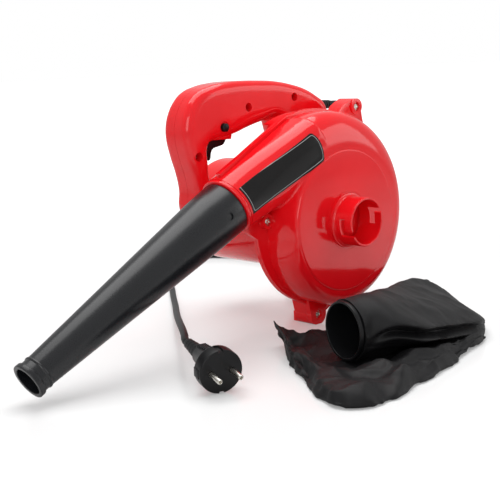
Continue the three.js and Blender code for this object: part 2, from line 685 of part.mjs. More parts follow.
function housingRear() {
  const screwSpots = Object.values(HANDLE_SCREWS);
  const bosses = screwSpots.map((spot) => bar(...spot, BOSS_R, SPLIT_Y, handleY[1] - 1, 10));
  const pilots = screwSpots.map((spot) => bar(...spot, SHANK_R + FIT, SPLIT_Y - 1, SPLIT_Y + 14, 8));
  const [coreMiddle, rib] = [(CORE_Y0 + CORE_Y1) / 2, 5];
  const ribs = [45, 135, 225, 315].map((angle) => {
    const geometry = new THREE.BoxGeometry(MOTOR_R - STATOR_R - FIT - 1, CORE_Y1 - CORE_Y0, rib);
    geometry.translate((MOTOR_R + STATOR_R + FIT - 1) / 2, coreMiddle, 0);
    geometry.rotateY(-rad(angle));
    return solid(geometry);
  });
  const rearSeat = ring(BEARING_R + 4, BEARING_R + FIT, REAR_BEARING_Y, MOTOR_END - 1, 20);
  const brushSeats = [-1, 1].map((side) => {
    const [a, b] = [side * (BRUSH_HOLDER_END + FIT), side * (MOTOR_R - 1)];
    return block(Math.min(a, b), Math.max(a, b), BRUSH_Y - 7, BRUSH_Y + 7, -6, 6);
  });
  const { x0, x1, z0, z1 } = SWITCH;
  const back = handleY[1] - 1;
  const switchRib = block(x0 + 8, x1 - 8, SWITCH.y1 + FIT, back, z0 + 4, z1 - 2);
  const seat = SPLIT_Y + CORD_R + FIT;
  const clampPost = block(CLAMP_X - 12, CLAMP_X + 12, seat, back, GLAND_Z - 3, GLAND_Z + 10);
  const clampPilots = clampScrewSpots.map((spot) =>
    bar(...spot, 1.3 + FIT, SPLIT_Y, handleY[1] - SHELL - 2, 12));
  const inside = cut(shell.inner, ...bosses, ...ribs, rearSeat, ...brushSeats, switchRib, clampPost);
  const foot = plate([
    [FOOT_X - 24, -34], [FOOT_X - 52, -48], [FOOT_X - FOOT_WIDTH / 2, -AXIS_HEIGHT],
    [FOOT_X + FOOT_WIDTH / 2, -AXIS_HEIGHT],
  ], FOOT_Y - FOOT_WIDTH / 2, FOOT_Y + FOOT_WIDTH / 2, { bevel: 0 });
  const outer = join(shell.outer, foot);
  return cut(outer, inside, triggerSlot, glandHole, ...pilots, ...clampPilots, ...vents())
    .intersect(halves.rear).intersect(aboveFloor);
}

function trigger() {
  const outline = [
    [-111, TRIGGER_TOP], [-111, 70], [-108.6, 67], [-106, 70], [-104, 77], [-98, 79.6], [-90, 81],
    [-86.4, 83.6], [-84.4, 86.5], [-84.4, 92], [-86, TRIGGER_TOP],
  ];
  const [y0, y1] = [SPLIT_Y - TRIGGER_W / 2, SPLIT_Y + TRIGGER_W / 2];
  return plate(outline, y0, y1, { bevel: 1.2 });
}

const TRIGGER_TOP = 97.5;
const SWITCH = {
  x0: -112, x1: -78, y0: SPLIT_Y - 9, y1: SPLIT_Y + 9, z0: TRIGGER_TOP + TRIGGER_TRAVEL + FIT, z1: 127,
};

function lockButton() {
  const start = handleY[0] - 3.4;
  const wall = handleY[0] + SHELL + FIT;
  const end = SPLIT_Y - TRIGGER_W / 2 - BUTTON_TRAVEL - FIT;
  return turned([
    [0, start], [BUTTON_R - 0.8, start], [BUTTON_R, start + 0.8], [BUTTON_R, wall], [BUTTON_R + 1.3, wall],
    [BUTTON_R + 1.3, wall + 1.4], [BUTTON_R, wall + 1.4], [BUTTON_R, end], [0, end],
  ], 16).translate([BUTTON_SPOT[0], 0, BUTTON_SPOT[1]]);
}

// ---------------------------------------------------------------- fan and motor

function impeller() {
  const plateBody = turned([
    [SHAFT_BORE, IMPELLER_FRONT], [9, IMPELLER_FRONT], [12, 4], [22, IMPELLER_BACK - 4],
    [IMPELLER_R, IMPELLER_BACK - 2], [IMPELLER_R, IMPELLER_BACK], [SHAFT_BORE, IMPELLER_BACK],
  ], 28);
  const blades = Array.from({ length: BLADES }, (_, i) => {
    const outline = [];
    const back = [];
    for (let k = 0; k <= 3; k += 1) {
      const r = 16 + (IMPELLER_R - 17) * (k / 3);
      const angle = -48 * (k / 3) ** 1.3;
      const half = (1.1 / r) * (180 / Math.PI);
      outline.push(polar(r, angle - half));
      back.unshift(polar(r, angle + half));
    }
    return plate([...outline, ...back], IMPELLER_FRONT + 1, IMPELLER_BACK - 1)
      .rotate([0, (360 * i) / BLADES, 0]);
  });
  return join(plateBody, ...blades);
}

const shaft = () => bar(0, 0, SHAFT_R, IMPELLER_FRONT - 8, REAR_BEARING_Y + BEARING_W + 2, 20);
const collarOn = (radius, y0, y1) => ring(radius, SHAFT_BORE, y0, y1, 20);

function bearing(y) {
  return ring(BEARING_R, SHAFT_BORE, y, y + BEARING_W, 20);
}

function impellerNut() {
  const geometry = new THREE.CylinderGeometry(7, 7, 5, 6);
  geometry.translate(0, IMPELLER_FRONT - 4.2, 0);
  return cut(solid(geometry), bar(0, 0, SHAFT_BORE, IMPELLER_FRONT - 9, IMPELLER_FRONT));
}

function armatureCore() {
  const slots = Array.from({ length: 8 }, (_, i) =>
    sector(ARMATURE_R + 1, ARMATURE_R - 7, 45 * i - 4, 45 * i + 4, CORE_Y0 - 1, CORE_Y1 + 1, 1));
  return cut(ring(ARMATURE_R, SHAFT_BORE, CORE_Y0, CORE_Y1, 24), ...slots);
}

const windingEnd = (y0, y1) => turned([
  [SHAFT_BORE, y0], [ARMATURE_R - 5, y0], [ARMATURE_R - 2, (y0 + y1) / 2], [ARMATURE_R - 5, y1],
  [SHAFT_BORE, y1],
], 18);

function commutator() {
  const [y0, y1] = [COMMUTATOR_Y0 - 1, COMMUTATOR_Y1 - 2];
  const slits = Array.from({ length: 8 }, (_, i) =>
    sector(COMMUTATOR_R + 1, COMMUTATOR_R - 1.2, 45 * i + 20, 45 * i + 25, y0, y1, 1));
  return cut(ring(COMMUTATOR_R, SHAFT_BORE, COMMUTATOR_Y0, COMMUTATOR_Y1, 24), ...slits);
}

const coilLegs = (grow) => [[20, 36], [144, 160]].map(([from, to]) => [from - grow, to + grow]);

function statorCore() {
  const [inner, y0, y1] = [ARMATURE_R + AIR_GAP, CORE_Y0 - 1, CORE_Y1 + 1];
  const bore = bar(0, 0, inner, y0, y1, 36);
  const windows = [0, 180].flatMap((turn) =>
    coilLegs(1).map(([from, to]) =>
      sector(COIL_OUTER + FIT, inner - 0.5, from + turn, to + turn, y0, y1, 2)));
  return cut(bar(0, 0, STATOR_R, CORE_Y0, CORE_Y1, 36), bore, ...windows);
}

function fieldCoil(turn) {
  const [inner, outer] = [ARMATURE_R + AIR_GAP + 1.2, COIL_OUTER];
  const legs = coilLegs(0).map(([from, to]) =>
    sector(outer, inner, from + turn, to + turn, CORE_Y0 - TURNS_DEPTH, CORE_Y1 + TURNS_DEPTH, 2));
  const overhangs = [[CORE_Y0 - TURNS_DEPTH, CORE_Y0 - FIT], [CORE_Y1 + FIT, CORE_Y1 + TURNS_DEPTH]];
  const ends = overhangs.map(([y0, y1]) => sector(outer, inner, 20 + turn, 160 + turn, y0, y1, 8));
  return join(...legs, ...ends);
}

const BRUSH_Y = (COMMUTATOR_Y0 + COMMUTATOR_Y1) / 2 - 1;
const BRUSH_HOLDER_END = 40;

function brushHolder(side) {
  const [w, h] = [BRUSH_W / 2 + FIT, BRUSH_H / 2 + FIT];
  const [outW, outH] = [w + 1.2, h + 1.2];
  const body = block(COMMUTATOR_R + 2, BRUSH_HOLDER_END, BRUSH_Y - outW, BRUSH_Y + outW, -outH, outH);
  const way = block(COMMUTATOR_R + 1, BRUSH_HOLDER_END - 1.5, BRUSH_Y - w, BRUSH_Y + w, -h, h);
  return cut(body, way).rotate([0, side > 0 ? 0 : 180, 0]);
}

const BRUSH_LENGTH = 14;

function brush(side) {
  const x0 = COMMUTATOR_R + FIT;
  const [w, h] = [BRUSH_W / 2, BRUSH_H / 2];
  const body = block(x0, x0 + BRUSH_LENGTH, BRUSH_Y - w, BRUSH_Y + w, -h, h);
  return body.rotate([0, side > 0 ? 0 : 180, 0]);
}

// A small spring behind each brush, wound as one wire.
function brushSpring(side) {
  const [wire, coilR, turns] = [0.45, 2.2, 3];
  const x0 = COMMUTATOR_R + BRUSH_LENGTH + 2 * FIT + wire;
  const x1 = BRUSH_HOLDER_END - 1.5 - FIT - wire;
  const points = [];
  for (let i = 0; i <= turns * 8; i += 1) {
    const [a, b] = polar(coilR, 45 * i);
    points.push(new THREE.Vector3(x0 + ((x1 - x0) * i) / (turns * 8), BRUSH_Y + a, b));
  }
  return tube(new THREE.CatmullRomCurve3(points), wire, turns * 7, 4).rotate([0, side > 0 ? 0 : 180, 0]);
}

// ---------------------------------------------------------------- screws

// A pan-head screw along +Y, its head's under face at y.
function screw([x, z], y, length, headR = HEAD_R, shankR = SHANK_R, headT = HEAD_T) {
  return turned([
    [0, y - headT], [headR * 0.7, y - headT], [headR, y - headT * 0.5], [headR, y], [shankR, y],
    [shankR, y + length], [0, y + length],
  ], 10).translate([x, 0, z]);
}

const CLAMP_X = 27;
const clampScrewSpots = [[CLAMP_X - 8, GLAND_Z + 7], [CLAMP_X + 8, GLAND_Z + 7]];

// Bar that holds the lead against the rear half, below its two screws.
function cordClamp() {
  const y1 = SPLIT_Y - CORD_R - FIT;
  const body = block(CLAMP_X - 11, CLAMP_X + 11, y1 - 2.5, y1, GLAND_Z - 5, GLAND_Z + 10);
  const holes = clampScrewSpots.map(([x, z]) => bar(x, z, 1.3 + FIT, y1 - 4, y1 + 1, 12));
  return cut(body, ...holes);
}

function gland() {
  const x = GLAND_X;
  const points = [
    [0, x - 5], [4.6, x - 5], [4.6, x - 2], [6.6, x - 2], [6.6, x], [4.6, x], [4.6, x + 6], [5.4, x + 7],
    [5.4, x + 10], [4.6, x + 12], [5, x + 14], [4.4, x + 18], [4.2, x + GLAND_LENGTH], [0, x + GLAND_LENGTH],
  ];
  return turned(points, 14).rotate([0, 0, -90]).translate([0, SPLIT_Y, GLAND_Z]);
}

// Stretch of the lead inside the handle, through the clamp.
const cordTail = () => barX(SPLIT_Y, GLAND_Z, CORD_R, CLAMP_X - 22, GLAND_X - 5 - FIT, 12);

// ---------------------------------------------------------------- pieces on the floor: z = 0 is the floor

const v = (x, y, z) => new THREE.Vector3(x, y, z);

// A body turned about +Y, moved so that its base is at a point and +Y runs along a direction.
function placed(body, at, along, sideways) {
  const side = sideways.clone().addScaledVector(along, -along.dot(sideways)).normalize();
  const basis = new THREE.Matrix4().makeBasis(side, along, side.clone().cross(along));
  basis.setPosition(at);
  return body.transform(basis.elements);
}

const PLUG_FACE = v(-232, -100.5, 19.2);
const PLUG_AXIS = v(-0.315, -0.943, -0.111).normalize(); // the way the pins point
const PLUG_SIDE = v(0.947, -0.32, 0.03); // from one pin to the other
const plugPoint = (back) => PLUG_FACE.clone().addScaledVector(PLUG_AXIS, -back);
const onPlug = (body) => placed(body, PLUG_FACE, PLUG_AXIS.clone().negate(), PLUG_SIDE);

function plugBody() {
  const body = turned([
    [0, 0], [PLUG_R - 1, 0], [PLUG_R, 1], [PLUG_R, PLUG_HEAD - 4], [PLUG_R - 1.5, PLUG_HEAD],
    [14, PLUG_HEAD + 4], [11, PLUG_HEAD + 14], [8.6, PLUG_GRIP], [0, PLUG_GRIP],
  ], 22);
  const grooves = [-1, 1].map((side) => {
    const geometry = new THREE.BoxGeometry(5, PLUG_HEAD - 2, 6);
    geometry.translate(0, PLUG_HEAD / 2 - 2, side * (PLUG_R + 1));
    return solid(geometry);
  });
  const pinHoles = [-1, 1].map((side) =>
    bar((side * PLUG_PIN_SPACING) / 2, 0, PLUG_PIN_R + FIT, -1, 10 + FIT, 10));
  const sleeveHole = bar(0, 0, 5 + FIT, PLUG_GRIP - 8 - FIT, PLUG_GRIP + 1, 12);
  return onPlug(cut(body, ...grooves, ...pinHoles, sleeveHole));
}

function plugPin(side) {
  const body = turned([
    [0, -PLUG_PIN_LENGTH], [PLUG_PIN_R - 0.9, -PLUG_PIN_LENGTH], [PLUG_PIN_R, -PLUG_PIN_LENGTH + 1.4],
    [PLUG_PIN_R, 10], [0, 10],
  ], 10);
  return onPlug(body.translate([(side * PLUG_PIN_SPACING) / 2, 0, 0]));
}

function plugSleeve() {
  const profile = [[0, PLUG_GRIP - 8], [5, PLUG_GRIP - 8], [5, PLUG_GRIP + FIT], [7.4, PLUG_GRIP + FIT]];
  for (let y = PLUG_GRIP + 5; y < PLUG_LENGTH - 3; y += 6) {
    const r = 7.4 - (2.6 * (y - PLUG_GRIP)) / (PLUG_LENGTH - PLUG_GRIP);
    profile.push([r, y], [r - 0.8, y + 1], [r - 0.8, y + 2], [r - 0.3, y + 3]);
  }
  profile.push([4.8, PLUG_LENGTH], [0, PLUG_LENGTH]);
  return onPlug(turned(profile, 12));
}

const CORD_Z = CORD_R + 0.2; // middle of a cord that lies on the floor

// Coil: loops spiral in on the floor, climb while they turn back, and spiral out again on top.
const COIL = { x: 127.5, y: 118, outer: 43.5, pitch: 8, turns: 3.125, layer: 8.2, start: -45 };

function coilPoint(share) {
  const turn = COIL.turns * share;
  const half = COIL.turns / 2;
  const inwards = half - Math.abs(turn - half);
  const climb = THREE.MathUtils.smoothstep(turn, half - 0.25, half + 0.25);
  const [dx, dy] = polar(COIL.outer - COIL.pitch * inwards, COIL.start + 360 * turn);
  return v(COIL.x + dx, COIL.y + dy, CORD_Z + COIL.layer * climb);
}

const coilSteps = COIL.turns * 24;
const coilCurve = new THREE.CatmullRomCurve3(
  Array.from({ length: coilSteps + 1 }, (_, i) => coilPoint(i / coilSteps)));

function leastGap(points, radius, apart) {
  let least = Infinity;
  for (let i = 0; i < points.length; i += 1) {
    for (let j = i + apart; j < points.length; j += 1) {
      least = Math.min(least, points[i].distanceTo(points[j]));
    }
  }
  return least - 2 * radius;
}

console.log('least gap between the loops of the coil, mm:',
  leastGap(coilCurve.getSpacedPoints(400), CORD_R, 40).toFixed(2));

// The lead leaves the gland level, hangs down behind the casing and turns on to the floor.
const glandEnd = v(GLAND_X + GLAND_LENGTH + FIT, SPLIT_Y, AXIS_HEIGHT + GLAND_Z);
const beforeCoil = (distance) => coilPoint(0).addScaledVector(coilCurve.getTangent(0), -distance);
const afterCoil = (distance) => coilPoint(1).addScaledVector(coilCurve.getTangent(1), distance);
const leadRoute = [
  glandEnd, v(91, 52, 224.5), v(98, 52, 223.6), v(107.5, 52, 220), v(115.5, 52, 213), v(120.8, 52, 203),
  v(123, 52, 191), v(123.4, 52, 165), v(123.4, 52, 135), v(123, 52, 105), v(123, 52, 75), v(123.2, 52.2, 50),
  v(124.4, 53.4, 34), v(128, 57, 20), v(134, 63, 9.6), v(141, 70, 4.9), beforeCoil(14),
  beforeCoil(7), beforeCoil(FIT),
];
const runRoute = [
  afterCoil(FIT), afterCoil(7), afterCoil(14), v(172.8, 148, 10), v(176.5, 168, 7.2), v(182, 192, 4.8),
  v(188.5, 222, CORD_Z), v(194.5, 254, CORD_Z), v(198, 286, CORD_Z), v(197, 318, CORD_Z),
  v(190, 349, CORD_Z), v(173, 374, CORD_Z), v(147, 385, CORD_Z), v(117, 380, CORD_Z), v(88, 359, CORD_Z),
  v(60, 328, CORD_Z), v(29, 286, CORD_Z), v(0, 246, CORD_Z), v(-34, 202, 5), v(-70, 155, 9),
  v(-104, 112, 14.6), v(-136, 71, 20.6), v(-163, 35, 25.8), v(-184, 5, 29),
  plugPoint(PLUG_LENGTH + 14), plugPoint(PLUG_LENGTH + 7), plugPoint(PLUG_LENGTH + FIT),
];
const leadCurve = new THREE.CatmullRomCurve3(leadRoute, false, 'centripetal');
const runCurve = new THREE.CatmullRomCurve3(runRoute, false, 'centripetal');
console.log('length of the lead outside the handle, mm:',
  (leadCurve.getLength() + coilCurve.getLength() + runCurve.getLength()).toFixed(0));

// ---------------------------------------------------------------- dust bag

const BAG_FLOOR = 3.6; // thickness of the empty layer that lies below the collar
const BAG_MOUTH = v(-105, -124, BAG_FLOOR + FIT + BAG_COLLAR_R);
const BAG_AWAY = v(0.974, -0.226, 0).normalize(); // from the mouth into the bag

const onBag = (body) => placed(body, BAG_MOUTH, BAG_AWAY, v(0, 0, 1));

function bagCollar() {
  const [inner, r, end] = [SOCKET_R, BAG_COLLAR_R, BAG_COLLAR_LENGTH];
  const tubeBody = turned([
    [inner, 0], [r - 0.8, 0], [r, 0.8], [r, 4], [r - 1, 5], [r - 1, end], [inner, end],
  ], 22);
  const pegs = [25, 205].map((angle) => {
    const geometry = new THREE.CylinderGeometry(PEG_R, PEG_R, 3, 12);
    geometry.rotateZ(Math.PI / 2);
    geometry.translate(inner - 0.4, 12, 0);
    geometry.rotateY(-rad(angle));
    return solid(geometry);
  });
  return onBag(join(tubeBody, ...pegs));
}

// The bag is empty: its upper layer runs back from the collar as a flattened sleeve, and the slack lies
// below it. Sections of the sleeve: the [x, y, z] of its far and its near edge, and half its thickness.
const bagSleeve = [
  [[-64.9, -104, 31], [-77.9, -160, 31], 28], [[-38, -84, 30], [-50, -167, 28], 26],
  [[0, -62, 28], [-16, -172, 22], 21], [[44, -42, 28], [8, -174, 16], 15],
  [[86, -28, 28], [44, -168, 13], 12],
  [[120, -22, 26], [80, -146, 11], 9], [[149, -27, 19], [108, -114, 8], 5.5],
];
const bagFloor = [
  [-58, 10], [-78, -30], [-97, -57], [-115, -66], [-139, -88], [-166, -132], [-184, -175], [-192, -194],
  [-169, -219], [-106, -207], [-38, -192], [26, -178], [82, -148], [126, -92], [143, -34], [110, -26],
  [60, -36], [0, -58], [-30, -32],
];

function dustBag() {
  const rings = bagSleeve.map(([far, near, half]) =>
    squircle(1, half, 2.4, 24, (a, b) => far.map((value, k) => {
      const middle = (value + near[k]) / 2 + (a * (value - near[k])) / 2;
      return k === 2 ? Math.max(middle + b, 0.8) : middle;
    })));
  const shape = new THREE.Shape(bagFloor.map(([x, y]) => new THREE.Vector2(x, y)));
  const slack = new THREE.ExtrudeGeometry(shape, { depth: BAG_FLOOR, bevelEnabled: false, curveSegments: 1 });
  const clearance = onBag(bar(0, 0, BAG_COLLAR_R + FIT, -2, BAG_COLLAR_LENGTH + FIT, 22));
  return cut(join(loft(rings), solid(slack)), clearance);
}

// ---------------------------------------------------------------- assembly

const group = new THREE.Group();
group.name = 'car_dryer_blower';
const blower = new THREE.Group();
blower.name = 'blower';
const SOLE = [SOLE_X, SOLE_BACK / 2];
blower.position.set(-SOLE[0], -SOLE[1], AXIS_HEIGHT);
const onFloor = new THREE.Group();
onFloor.name = 'on_floor';
onFloor.position.set(-SOLE[0], -SOLE[1], 0);
group.add(blower, onFloor);

const put = (parent, name, body, material) => parent.add(mesh(name, body, material));

put(blower, 'volute_front_cover', frontCover(), RED);
put(blower, 'volute_rear_shell', rearShell(), RED);
put(blower, 'outlet_spigot', outletSocket(), RED);
put(blower, 'nozzle', nozzle(), BLACK);
put(blower, 'label_plate', label(), LABEL);
put(blower, 'housing_front_half', housingFront(), RED);
put(blower, 'housing_rear_half', housingRear(), RED);
put(blower, 'trigger', trigger(), BLACK);
put(blower, 'lock_on_button', lockButton(), BLACK);
put(blower, 'switch_body', block(...Object.values(SWITCH)), BLACK);
put(blower, 'capacitor', block(-52, -26, SPLIT_Y - 6, SPLIT_Y + 6, 108, 126), GREY);
put(blower, 'cord_gland', gland(), RUBBER);
put(blower, 'cord_clamp', cordClamp(), BLACK);
put(blower, 'cord_tail', cordTail(), RUBBER);

for (const { name, spot, front } of lugs) {
  put(blower, `case_screw_${name}`, screw(spot, front + SEAT, CASE_SCREW_DEPTH), NICKEL);
}
for (const [name, spot] of Object.entries(HANDLE_SCREWS)) {
  put(blower, `handle_screw_${name}`, screw(spot, HANDLE_SEAT, 16), NICKEL);
}
mountScrewSpots.forEach((spot, i) =>
  put(blower, `mount_screw_${i + 1}`, screw(spot, BACK_Y - WALL - FIT, 17), NICKEL));
clampScrewSpots.forEach((spot, i) =>
  put(blower, `clamp_screw_${i + 1}`,
    screw(spot, SPLIT_Y - CORD_R - 2.5 - 2 * FIT, 18, 2.6, 1.3, 1.6), NICKEL));

put(blower, 'impeller', impeller(), RED);
put(blower, 'impeller_washer', collarOn(7.6, IMPELLER_FRONT - 1.5, IMPELLER_FRONT - FIT), STEEL);
put(blower, 'impeller_nut', impellerNut(), STEEL);
put(blower, 'shaft', shaft(), STEEL);
put(blower, 'front_bearing', bearing(FRONT_BEARING_Y), STEEL);
put(blower, 'rear_bearing', bearing(REAR_BEARING_Y), STEEL);
put(blower, 'armature_core', armatureCore(), STEEL);
put(blower, 'armature_winding_front', windingEnd(CORE_Y0 - 8, CORE_Y0 - FIT), COPPER);
put(blower, 'armature_winding_rear', windingEnd(CORE_Y1 + FIT, CORE_Y1 + 8), COPPER);
put(blower, 'commutator', commutator(), COPPER);
put(blower, 'stator_core', statorCore(), STEEL);
put(blower, 'field_coil_upper', fieldCoil(0), COPPER);
put(blower, 'field_coil_lower', fieldCoil(180), COPPER);
for (const [name, side] of [['right', 1], ['left', -1]]) {
  put(blower, `brush_holder_${name}`, brushHolder(side), BRASS);
  put(blower, `brush_${name}`, brush(side), CARBON);
  put(blower, `brush_spring_${name}`, brushSpring(side), STEEL);
}

put(onFloor, 'cord_lead', tube(leadCurve, CORD_R, 30, 8), RUBBER);
put(onFloor, 'cord_coil', tube(coilCurve, CORD_R, coilSteps, 6), RUBBER);
put(onFloor, 'cord_run', tube(runCurve, CORD_R, 48, 8), RUBBER);
put(onFloor, 'plug_body', plugBody(), RUBBER);
put(onFloor, 'plug_pin_1', plugPin(-1), NICKEL);
put(onFloor, 'plug_pin_2', plugPin(1), NICKEL);
put(onFloor, 'plug_relief', plugSleeve(), RUBBER);
put(onFloor, 'bag_collar', bagCollar(), BLACK);
put(onFloor, 'dust_bag', dustBag(), FABRIC);

export default group;
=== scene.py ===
# %% [markdown]
# # A car dryer blower, dressed around its working model
#
# The working model already holds every piece of the blower at its real size: casing, handle, fan, motor,
# nozzle, lead and bag. Here each visible piece gets its real surface. The pieces are modelled the way a
# person would do it by hand, with primitives, edit-mode operators and modifiers, and every finish is
# procedural. Sizes are in millimetres in the fan frame: x to the right, y along the fan axis towards the
# motor, z up, with the origin where the fan axis crosses the seam between the two casing shells.

# %% Load the working model
import json
import math

import bpy
from mathutils import Matrix, Vector, noise


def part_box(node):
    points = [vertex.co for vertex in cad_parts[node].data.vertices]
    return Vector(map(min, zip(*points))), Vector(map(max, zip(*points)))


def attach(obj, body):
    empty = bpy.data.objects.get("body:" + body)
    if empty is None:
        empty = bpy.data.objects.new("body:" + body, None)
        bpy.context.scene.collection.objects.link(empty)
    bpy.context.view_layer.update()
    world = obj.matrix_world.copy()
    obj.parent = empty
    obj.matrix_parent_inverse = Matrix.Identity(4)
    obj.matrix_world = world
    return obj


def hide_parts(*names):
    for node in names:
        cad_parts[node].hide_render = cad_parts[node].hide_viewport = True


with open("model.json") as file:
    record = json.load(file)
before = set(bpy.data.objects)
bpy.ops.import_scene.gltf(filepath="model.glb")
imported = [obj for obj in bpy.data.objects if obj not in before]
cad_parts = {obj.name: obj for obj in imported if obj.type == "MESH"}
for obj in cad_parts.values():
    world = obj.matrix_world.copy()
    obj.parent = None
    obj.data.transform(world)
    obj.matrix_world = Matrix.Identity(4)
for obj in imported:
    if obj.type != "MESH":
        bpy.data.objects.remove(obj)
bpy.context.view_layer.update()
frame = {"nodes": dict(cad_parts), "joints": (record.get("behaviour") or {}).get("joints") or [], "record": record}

MM = 0.001
print("the working model holds", len(frame["nodes"]), "nodes")

# %% [markdown]
# ## Where things are
#
# The fan axis comes from the rotor's joint, and the seam lies halfway between the two casing shells. All
# places below are worked out from that one point, so that nothing has to be fitted by eye.

# %% The fan frame
SPIN = next(joint for joint in frame["joints"] if joint["name"] == "rotor_spin")["pos_m"]
SEAM_Y = (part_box("volute_front_cover")[1].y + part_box("volute_rear_shell")[0].y) / 2
FAN = Vector((SPIN[0], SEAM_Y, SPIN[2]))


def at(x, y, z):
    """A point of the fan frame, given in millimetres, as a point of the scene."""
    return FAN + Vector((x, y, z)) * MM


def on_floor(x, y, z):
    """A point given by its height above the floor, otherwise like at()."""
    return Vector((FAN.x, FAN.y, 0)) + Vector((x, y, z)) * MM


def polar(radius, degrees):
    return radius * math.cos(math.radians(degrees)), radius * math.sin(math.radians(degrees))


print("fan axis at", tuple(round(value, 4) for value in FAN))

# %% [markdown]
# ## The camera
#
# The camera stands where the photographer stood: in front of the nozzle, a little above the handle, with a
# long lens and a slight tilt of the horizon. It looks back along a direction given by two angles, and the
# roll turns it about that direction.

# %% Camera
CAMERA_TARGET = Vector((-0.089, -0.0125, 0.092))
CAMERA_DISTANCE = 1.0
CAMERA_AZIMUTH, CAMERA_ELEVATION, CAMERA_ROLL = (math.radians(d) for d in (-43.5, 10.2, -2.4))
CAMERA_LENS = 73.3

backwards = Vector((
    math.sin(CAMERA_AZIMUTH) * math.cos(CAMERA_ELEVATION),
    -math.cos(CAMERA_AZIMUTH) * math.cos(CAMERA_ELEVATION),
    math.sin(CAMERA_ELEVATION),
))
level = Vector((math.cos(CAMERA_AZIMUTH), math.sin(CAMERA_AZIMUTH), 0))
right = Matrix.Rotation(CAMERA_ROLL, 3, backwards) @ level
up = backwards.cross(right)

bpy.ops.object.camera_add(location=CAMERA_TARGET + backwards * CAMERA_DISTANCE)
camera = bpy.context.object
camera.rotation_euler = Matrix((right, up, backwards)).transposed().to_euler()
camera.data.lens = CAMERA_LENS
bpy.context.scene.camera = camera
print("the camera is", round(CAMERA_DISTANCE, 2), "m from its target")

# %% [markdown]
# ## The mains lead
#
# The lead is a round rubber cord, 7.2 mm thick. It leaves its gland level, hangs behind the casing, and what
# the picture doesn't show of it lies in a neat coil behind the blower. From there it runs over the floor to
# the plug. It could be a mesh, but a curve keeps its real length and stays smooth, so it is a Bezier curve
# through listed points, with the coil's turns worked out in a loop.

# %% Route of the lead
CORD_R = 3.6
CORD_Z = CORD_R + 0.2
GLAND_X, GLAND_Z, GLAND_LENGTH = 57, 112.5, 27
GRIP_Y = 52  # middle plane of the handle
FIT = 0.3
FLOOR_TO_AXIS = FAN.z / MM

COIL_MIDDLE = (127.5, 118)
COIL_OUTER, COIL_PITCH, COIL_TURNS, COIL_LAYER, COIL_START = 43.5, 8, 3.125, 8.2, -45

PLUG_FACE = Vector((-232, -100.5, 19.2))
PLUG_AXIS = Vector((-0.315, -0.943, -0.111)).normalized()  # the way the pins point
PLUG_SIDE = Vector((0.947, -0.32, 0.03))
PLUG_LENGTH = 73


def coil_point(share):
    """A point of the coil: the loops spiral in, climb on to themselves and spiral out again."""
    turn = COIL_TURNS * share
    half = COIL_TURNS / 2
    inwards = half - abs(turn - half)
    t = min(max((turn - half + 0.25) / 0.5, 0), 1)
    climb = t * t * (3 - 2 * t)
    dx, dy = polar(COIL_OUTER - COIL_PITCH * inwards, COIL_START + 360 * turn)
    return Vector((COIL_MIDDLE[0] + dx, COIL_MIDDLE[1] + dy, CORD_Z + COIL_LAYER * climb))


def plug_point(back):
    return PLUG_FACE - PLUG_AXIS * back


STEP = 0.002
coil_start_way = (coil_point(STEP) - coil_point(0)).normalized()
coil_end_way = (coil_point(1) - coil_point(1 - STEP)).normalized()
lead_route = [
    (GLAND_X + GLAND_LENGTH + FIT, GRIP_Y, FLOOR_TO_AXIS + GLAND_Z), (91, 52, 224.5), (98, 52, 223.6),
    (107.5, 52, 220), (115.5, 52, 213), (120.8, 52, 203), (123, 52, 191), (123.4, 52, 165), (123.4, 52, 135),
    (123, 52, 105), (123, 52, 75), (123.2, 52.2, 50), (124.4, 53.4, 34), (128, 57, 20), (134, 63, 9.6),
    (141, 70, 4.9), coil_point(0) - coil_start_way * 14, coil_point(0) - coil_start_way * 7,
]
coil_route = [coil_point(i / 75) for i in range(76)]
run_route = [
    coil_point(1) + coil_end_way * 7, coil_point(1) + coil_end_way * 14, (172.8, 148, 10), (176.5, 168, 7.2),
    (182, 192, 4.8), (188.5, 222, CORD_Z), (194.5, 254, CORD_Z), (198, 286, CORD_Z), (197, 318, CORD_Z),
    (190, 349, CORD_Z), (173, 374, CORD_Z), (147, 385, CORD_Z), (117, 380, CORD_Z), (88, 359, CORD_Z),
    (60, 328, CORD_Z), (29, 286, CORD_Z), (0, 246, CORD_Z), (-34, 202, 5), (-70, 155, 9), (-104, 112, 14.6),
    (-136, 71, 20.6), (-163, 35, 25.6), (-183.5, 6.5, 28.4), (-196.5, -11.5, 28.9),
    plug_point(PLUG_LENGTH + 6), plug_point(PLUG_LENGTH + FIT),
]
cord_points = [on_floor(*point) for point in lead_route + coil_route + run_route]
print("the lead has", len(cord_points), "points")

# %% [markdown]
# A Bezier curve with automatic handles passes smoothly through every point.

# %% Lead as a curve
lead_curve = bpy.data.curves.new("mains_lead", "CURVE")
lead_curve.dimensions = "3D"
spline = lead_curve.splines.new("BEZIER")
spline.bezier_points.add(len(cord_points) - 1)
for bezier_point, point in zip(spline.bezier_points, cord_points):
    bezier_point.co = point
    bezier_point.handle_left_type = bezier_point.handle_right_type = "AUTO"
spline.resolution_u = 8
lead_curve.bevel_depth = CORD_R * MM
lead_curve.bevel_resolution = 5
lead_curve.use_fill_caps = True
mains_lead = bpy.data.objects.new("mains_lead", lead_curve)
bpy.context.scene.collection.objects.link(mains_lead)

# %% [markdown]
# ## Small tools for modelling
#
# An operator acts on everything that is selected, so `only` selects just the objects that are meant. `draw`
# makes an outline as by hand: a plane is merged to one vertex, which is extruded from point to point.

